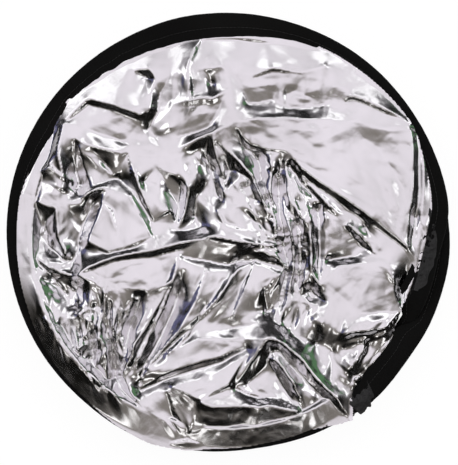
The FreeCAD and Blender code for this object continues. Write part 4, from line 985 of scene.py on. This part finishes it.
def makeEndTab(name, middle, node):
    z = zipSizes
    along = alongOf(middle, rim["zipLap"])
    corners = [(z["tabOut"], -z["tabHigh"]), (z["tabOut"], 0.0), (z["tabOut"], z["tabHigh"])]
    section = sectionLine(corners, z["tabCorner"], rim["zipColumns"])
    piece = sweep(name, along - z["tabAngle"], along + z["tabAngle"], section, "edge_tape",
                  gather=z["tabGather"], seed=9, step=0.2, wobble=0.0)
    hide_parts(node)
    turnLength(0, 2 * z["tabAngle"])
    return piece


def numbersOf(sockets):
    return [s for s in sockets if s.type == "VALUE"]


def repeater():
    # Geometry Nodes: one shape on every point of a mesh, turned as the point's "turn" says
    tree = bpy.data.node_groups.new("shape on points", "GeometryNodeTree")
    inputs = {"Points": "Geometry", "Shape": "Object", "Material": "Material", "Least Size": "Float",
              "Greatest Size": "Float", "Sway": "Float", "Seed": "Int"}
    for label, kind in inputs.items():
        tree.interface.new_socket(label, in_out="INPUT", socket_type="NodeSocket" + kind)
    tree.interface.new_socket("Repeated", in_out="OUTPUT", socket_type="NodeSocketGeometry")
    new, link = tree.nodes.new, tree.links.new
    given, result = new("NodeGroupInput"), new("NodeGroupOutput")
    turn = new("GeometryNodeInputNamedAttribute")
    turn.data_type = "FLOAT_VECTOR"
    turn.inputs["Name"].default_value = "turn"
    # each shape sways a little either way, and takes a size of its own
    sway, size = new("FunctionNodeRandomValue"), new("FunctionNodeRandomValue")
    for chance in (sway, size):
        chance.data_type = "FLOAT"
        link(given.outputs["Seed"], chance.inputs["Seed"])
    down = new("ShaderNodeMath")
    down.operation = "MULTIPLY"
    down.inputs[1].default_value = -1.0
    link(given.outputs["Sway"], down.inputs[0])
    link(down.outputs[0], numbersOf(sway.inputs)[0])
    link(given.outputs["Sway"], numbersOf(sway.inputs)[1])
    link(given.outputs["Least Size"], numbersOf(size.inputs)[0])
    link(given.outputs["Greatest Size"], numbersOf(size.inputs)[1])
    aside, total = new("ShaderNodeCombineXYZ"), new("ShaderNodeVectorMath")
    link(numbersOf(sway.outputs)[0], aside.inputs[2])
    link(turn.outputs["Attribute"], total.inputs[0])
    link(aside.outputs[0], total.inputs[1])
    rotation, shape = new("FunctionNodeEulerToRotation"), new("GeometryNodeObjectInfo")
    link(total.outputs[0], rotation.inputs[0])
    link(given.outputs["Shape"], shape.inputs["Object"])
    spread = new("GeometryNodeInstanceOnPoints")
    link(given.outputs["Points"], spread.inputs["Points"])
    link(shape.outputs["Geometry"], spread.inputs["Instance"])
    link(rotation.outputs[0], spread.inputs["Rotation"])
    link(numbersOf(size.outputs)[0], spread.inputs["Scale"])
    real, paint = new("GeometryNodeRealizeInstances"), new("GeometryNodeSetMaterial")
    link(spread.outputs[0], real.inputs[0])
    link(real.outputs[0], paint.inputs["Geometry"])
    link(given.outputs["Material"], paint.inputs["Material"])
    link(paint.outputs[0], result.inputs[0])
    return tree


def repeated(name, places, shape, material, sizes=(1.0, 1.0), sway=0.0, seed=1):
    # places: position, direction of the shape's X, and about the direction of its Z
    mesh = bpy.data.meshes.new(name + " points")
    mesh.from_pydata([tuple(p) for p, _, _ in places], [], [])
    turns = []
    for _, ahead, up in places:
        ahead, up = Vector(ahead).normalized(), Vector(up)
        side = up.cross(ahead).normalized()
        turns += list(Matrix((ahead, side, ahead.cross(side))).transposed().to_euler())
    mesh.attributes.new("turn", "FLOAT_VECTOR", "POINT").data.foreach_set("vector", turns)
    holder = bpy.data.objects.new(name + " points", mesh)
    bpy.context.scene.collection.objects.link(holder)
    modifier = holder.modifiers.new("repeat", "NODES")
    modifier.node_group = shapeOnPoints
    values = {"Shape": shape, "Material": material, "Least Size": sizes[0], "Greatest Size": sizes[1],
              "Sway": sway, "Seed": seed}
    for item in shapeOnPoints.interface.items_tree:
        if item.in_out == "INPUT" and item.name in values:
            modifier[item.identifier] = values[item.name]
    seen = holder.evaluated_get(bpy.context.evaluated_depsgraph_get())
    made = bpy.data.meshes.new_from_object(seen)
    bpy.data.objects.remove(holder)
    made.name = name
    piece = bpy.data.objects.new(name, made)
    bpy.context.scene.collection.objects.link(piece)
    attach(piece, coilBody)
    return piece


def loopShape(name, rings, sides):
    # a closed tube through rings of (place along X, height, half-width, half-depth)
    points, faces = [], []
    for x, high, wide, deep in rings:
        for i in range(sides):
            a = 2 * math.pi * (i + 0.5) / sides
            points.append((x, wide * math.cos(a), high + deep * math.sin(a)))
    for ring in range(len(rings) - 1):
        for i in range(sides):
            a, b = ring * sides + i, ring * sides + (i + 1) % sides
            faces.append((a, b, b + sides, a + sides))
    faces.append(tuple(reversed(range(sides))))
    faces.append(tuple(range((len(rings) - 1) * sides, len(rings) * sides)))
    mesh = bpy.data.meshes.new(name)
    mesh.from_pydata(points, [], faces)
    mesh.polygons.foreach_set("use_smooth", [True] * len(mesh.polygons))
    mesh.update()
    return bpy.data.objects.new(name, mesh)


shapeOnPoints = repeater()


# a tooth grips the tape's edge and stops at the parting of the two rows: shares of the tooth's length,
# half-width and half-depth
toothRings = [(0, 0.75, 0.8), (0.12, 1, 1), (0.55, 0.8, 0.96), (0.72, 0.6, 0.9), (0.88, 1, 0.84),
              (1, 0.7, 0.55)]


def makeTeeth(name, side, node):
    z = zipSizes
    half = z["toothPitch"] * z["toothShare"] / 2
    length = z["chainFar"] - z["chainNear"]
    thick = z["chainThick"] / 2
    rings = [(length * x, 0, half * wide, thick * deep) for x, wide, deep in toothRings]
    tooth = loopShape("tooth", rings, 8)
    first = rim["zipStart"] + z["tabAngle"] + z["stopAngle"]
    last = rim["zipEnd"] - z["tabAngle"] - z["stopAngle"]
    r = hoop["radius"] + z["tapeOut"]
    pitch = math.degrees(z["toothPitch"] / r)
    shift = 0.5 if side > 0 else 1.0  # the two rows interlock
    count = int((last - first) / pitch - shift - 0.5)
    places = []
    for i in range(count):
        azimuth = math.radians(first + (i + shift) * pitch)
        out = (math.cos(azimuth), math.sin(azimuth), 0.0)
        places.append(((r * out[0], r * out[1], hoop["lowLevel"] + side * z["chainFar"]), (0, 0, -side), out))
    piece = repeated(name, places, tooth, finishes["zip_nylon"])
    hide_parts(node)
    return piece


zipPieces = [
    makeZipTape("zipTapeUpper", 1, "zip_tape_upper", 5), makeZipTape("zipTapeLower", -1, "zip_tape_lower", 6),
    makeEndTab("zipTabClosed", rim["zipEnd"], "zip_end_tab_closed"),
    makeEndTab("zipTabOpen", rim["zipStart"], "zip_end_tab_open"),
    makeTeeth("teethUpper", 1, "zip_chain_upper"), makeTeeth("teethLower", -1, "zip_chain_lower"),
]
print("zip made:", len(zipPieces), "pieces")


# Stitches along both hems of the black tape and of the zip's tapes

stitches = {
    "pitch": 0.0032, "lift": 0.00012, "sizes": (0.93, 1.05), "sway": 0.09, "seed": 17,
    "lowest": 0.00045, "topHem": 0.036, "underHem": 0.010,
    # a stitch dips into the cloth at both ends: place, height, half-width and half-depth
    "rings": [(-0.00125, -0.0001, 0.0001, 0.0001), (-0.0008, 0.00008, 0.0002, 0.00014),
              (0.0008, 0.00008, 0.0002, 0.00014), (0.00125, -0.0001, 0.0001, 0.0001)],
}


def stitchPlaces(piece, columns, column):
    # even places along one column of a swept strip, each with its run and the cloth's outward side
    grid = np.empty(len(piece.data.vertices) * 3)
    piece.data.vertices.foreach_get("co", grid)
    grid = grid.reshape(-1, columns, 3)
    line, beside = grid[:, column], grid[:, column + 1]
    gaps = np.linalg.norm(np.diff(line, axis=0), axis=1)
    run = np.concatenate([[0], np.cumsum(gaps)])
    at = np.arange(stitches["pitch"], run[-1] - stitches["pitch"], stitches["pitch"])
    place = np.stack([np.interp(at, run, line[:, k]) for k in range(3)], axis=1)
    across = np.stack([np.interp(at, run, beside[:, k]) for k in range(3)], axis=1)
    ahead = np.gradient(place, axis=0)
    up = np.cross(ahead, across - place)
    up /= np.linalg.norm(up, axis=1)[:, None]
    up *= np.sign(up[:, 2:3] * (1 if column > columns // 2 else -1) + 1e-9)
    place[:, 2] = np.maximum(place[:, 2], stitches["lowest"])
    # none where the silver cloth lies on the hem
    border = periodic(silver["edge"], np.arctan2(place[:, 1], place[:, 0])) * 0.001 - stitches["underHem"]
    clear = (place[:, 2] < stitches["topHem"]) | (np.hypot(place[:, 0], place[:, 1]) > border)
    return list(zip((place + up * stitches["lift"])[clear], ahead[clear], up[clear]))


def makeStitches(name, piece, columns, column, seedShift):
    shape = loopShape("stitch", stitches["rings"], 6)
    return repeated(name, stitchPlaces(piece, columns, column), shape, thread, stitches["sizes"],
                    stitches["sway"], stitches["seed"] + seedShift)


rowsOfStitches = [
    makeStitches("upperStitches", edgeTape, rim["columns"], 22, 0),
    makeStitches("lowerStitches", edgeTape, rim["columns"], 2, 1),
    makeStitches("zipUpperStitches", zipPieces[0], rim["zipColumns"], 2, 2),
    makeStitches("zipLowerStitches", zipPieces[1], rim["zipColumns"], 2, 3),
]
print("stitches made:", sum(len(p.data.polygons) for p in rowsOfStitches), "faces")


# Floor, light and camera

def makeStage():
    half = 3
    corners = [(-half, -half, 0), (half, -half, 0), (half, half, 0), (-half, half, 0)]
    floor = bpy.data.meshes.new("floor")
    floor.from_pydata(corners, [], [(0, 1, 2, 3)])
    ground = bpy.data.objects.new("floor", floor)
    bpy.context.scene.collection.objects.link(ground)
    # nearly pure white to the camera, and pale to the light that falls on it
    material, s = newMaterial("pale floor")
    paint = s.node("BsdfDiffuse", Color=(0.9, 0.9, 0.9, 1))
    white = s.node("Emission", Color=(1, 1, 1, 1), Strength=1.1)
    seen = s.node("LightPath", out=0)
    s.node("OutputMaterial", Surface=s.node("MixShader", s0=seen * 0.86, s1=paint, s2=white))
    floor.materials.append(material)


studio = {
    "horizon": (0.02, 0.02, 0.02), "ceiling": (0.8, 0.77, 0.8),
    "dimHorizon": (0.006, 0.006, 0.005), "dimCeiling": (0.25, 0.23, 0.205),
    # soft oblong lights: azimuth, elevation, half-width, half-height, core, strength and colour
    "boxes": [
        (90, 82, 38, 30, 0.0, 0.92, (1.0, 0.955, 1.0)),
        (70, 42, 20, 9, 0.4, 1.3, (1.0, 1.0, 1.0)),
        (130, 46, 16, 8, 0.4, 1.3, (1.0, 1.0, 1.0)),
        (15, 44, 13, 8, 0.4, 1.5, (1.0, 1.0, 1.0)),
        (158, 46, 11, 8, 0.4, 1.5, (1.0, 1.0, 1.0)),
        (245, 54, 11, 6, 0.4, 1.4, (1.0, 0.99, 0.96)),
        (310, 42, 11, 7, 0.4, 1.4, (1.0, 0.99, 0.96)),
        (25, 18, 16, 13, 0.3, 0.2, (0.5, 1.0, 0.5)),
        (165, 24, 16, 10, 0.3, 0.22, (0.55, 0.55, 1.0)),
    ],
}


def makeWorld():
    world = bpy.data.worlds.new("studio")
    bpy.context.scene.world = world
    world.use_nodes = True
    s = Shader(world.node_tree)
    x, y, z = s.apart(s.node("TexCoord", out=0))
    bright = s.mix(z.band(0.3, 0.85), studio["horizon"], studio["ceiling"])
    dim = s.mix(z.band(0.45, 1.0), studio["dimHorizon"], studio["dimCeiling"])
    glow = s.mix(y.band(-0.22, 0.18), dim, bright)
    for azimuth, elevation, wide, tall, core, strength, colour in studio["boxes"]:
        a, e = math.radians(azimuth), math.radians(elevation)
        ahead = x * math.cos(a) + y * math.sin(a)
        depth = ahead * math.cos(e) + z * math.sin(e)
        across = (x * -math.sin(a) + y * math.cos(a)) * (1 / math.sin(math.radians(wide)))
        over = (ahead * -math.sin(e) + z * math.cos(e)) * (1 / math.sin(math.radians(tall)))
        inside = (across * across).band(1.0, core) * (over * over).band(1.0, core) * depth.band(0.0, 0.1)
        glow = s.mix(inside, glow, tuple(c * strength for c in colour))
    # the camera itself sees plain white
    colour = s.mix(s.node("LightPath", out=0), glow, (1.0, 1.0, 1.0))
    s.node("OutputWorld", Surface=s.node("Background", Color=colour, Strength=1.0))


view = {"distance": 1.25, "picture": 0.3939, "middle": (0.0017, 0.0004, 0.042), "sensor": 36.0}


def makeCamera():
    # straight above the folded disc
    lens = bpy.data.cameras.new("camera")
    camera = bpy.data.objects.new("camera", lens)
    bpy.context.scene.collection.objects.link(camera)
    x, y, z = view["middle"]
    lens.sensor_width = view["sensor"]
    lens.lens = view["sensor"] * view["distance"] / view["picture"]
    lens.clip_start, lens.clip_end = 0.05, 20.0
    camera.location = (x, y, z + view["distance"])
    bpy.context.scene.camera = camera


makeStage()
makeWorld()
makeCamera()
bpy.context.scene.view_settings.view_transform = "Standard"
print("floor, light and camera made")
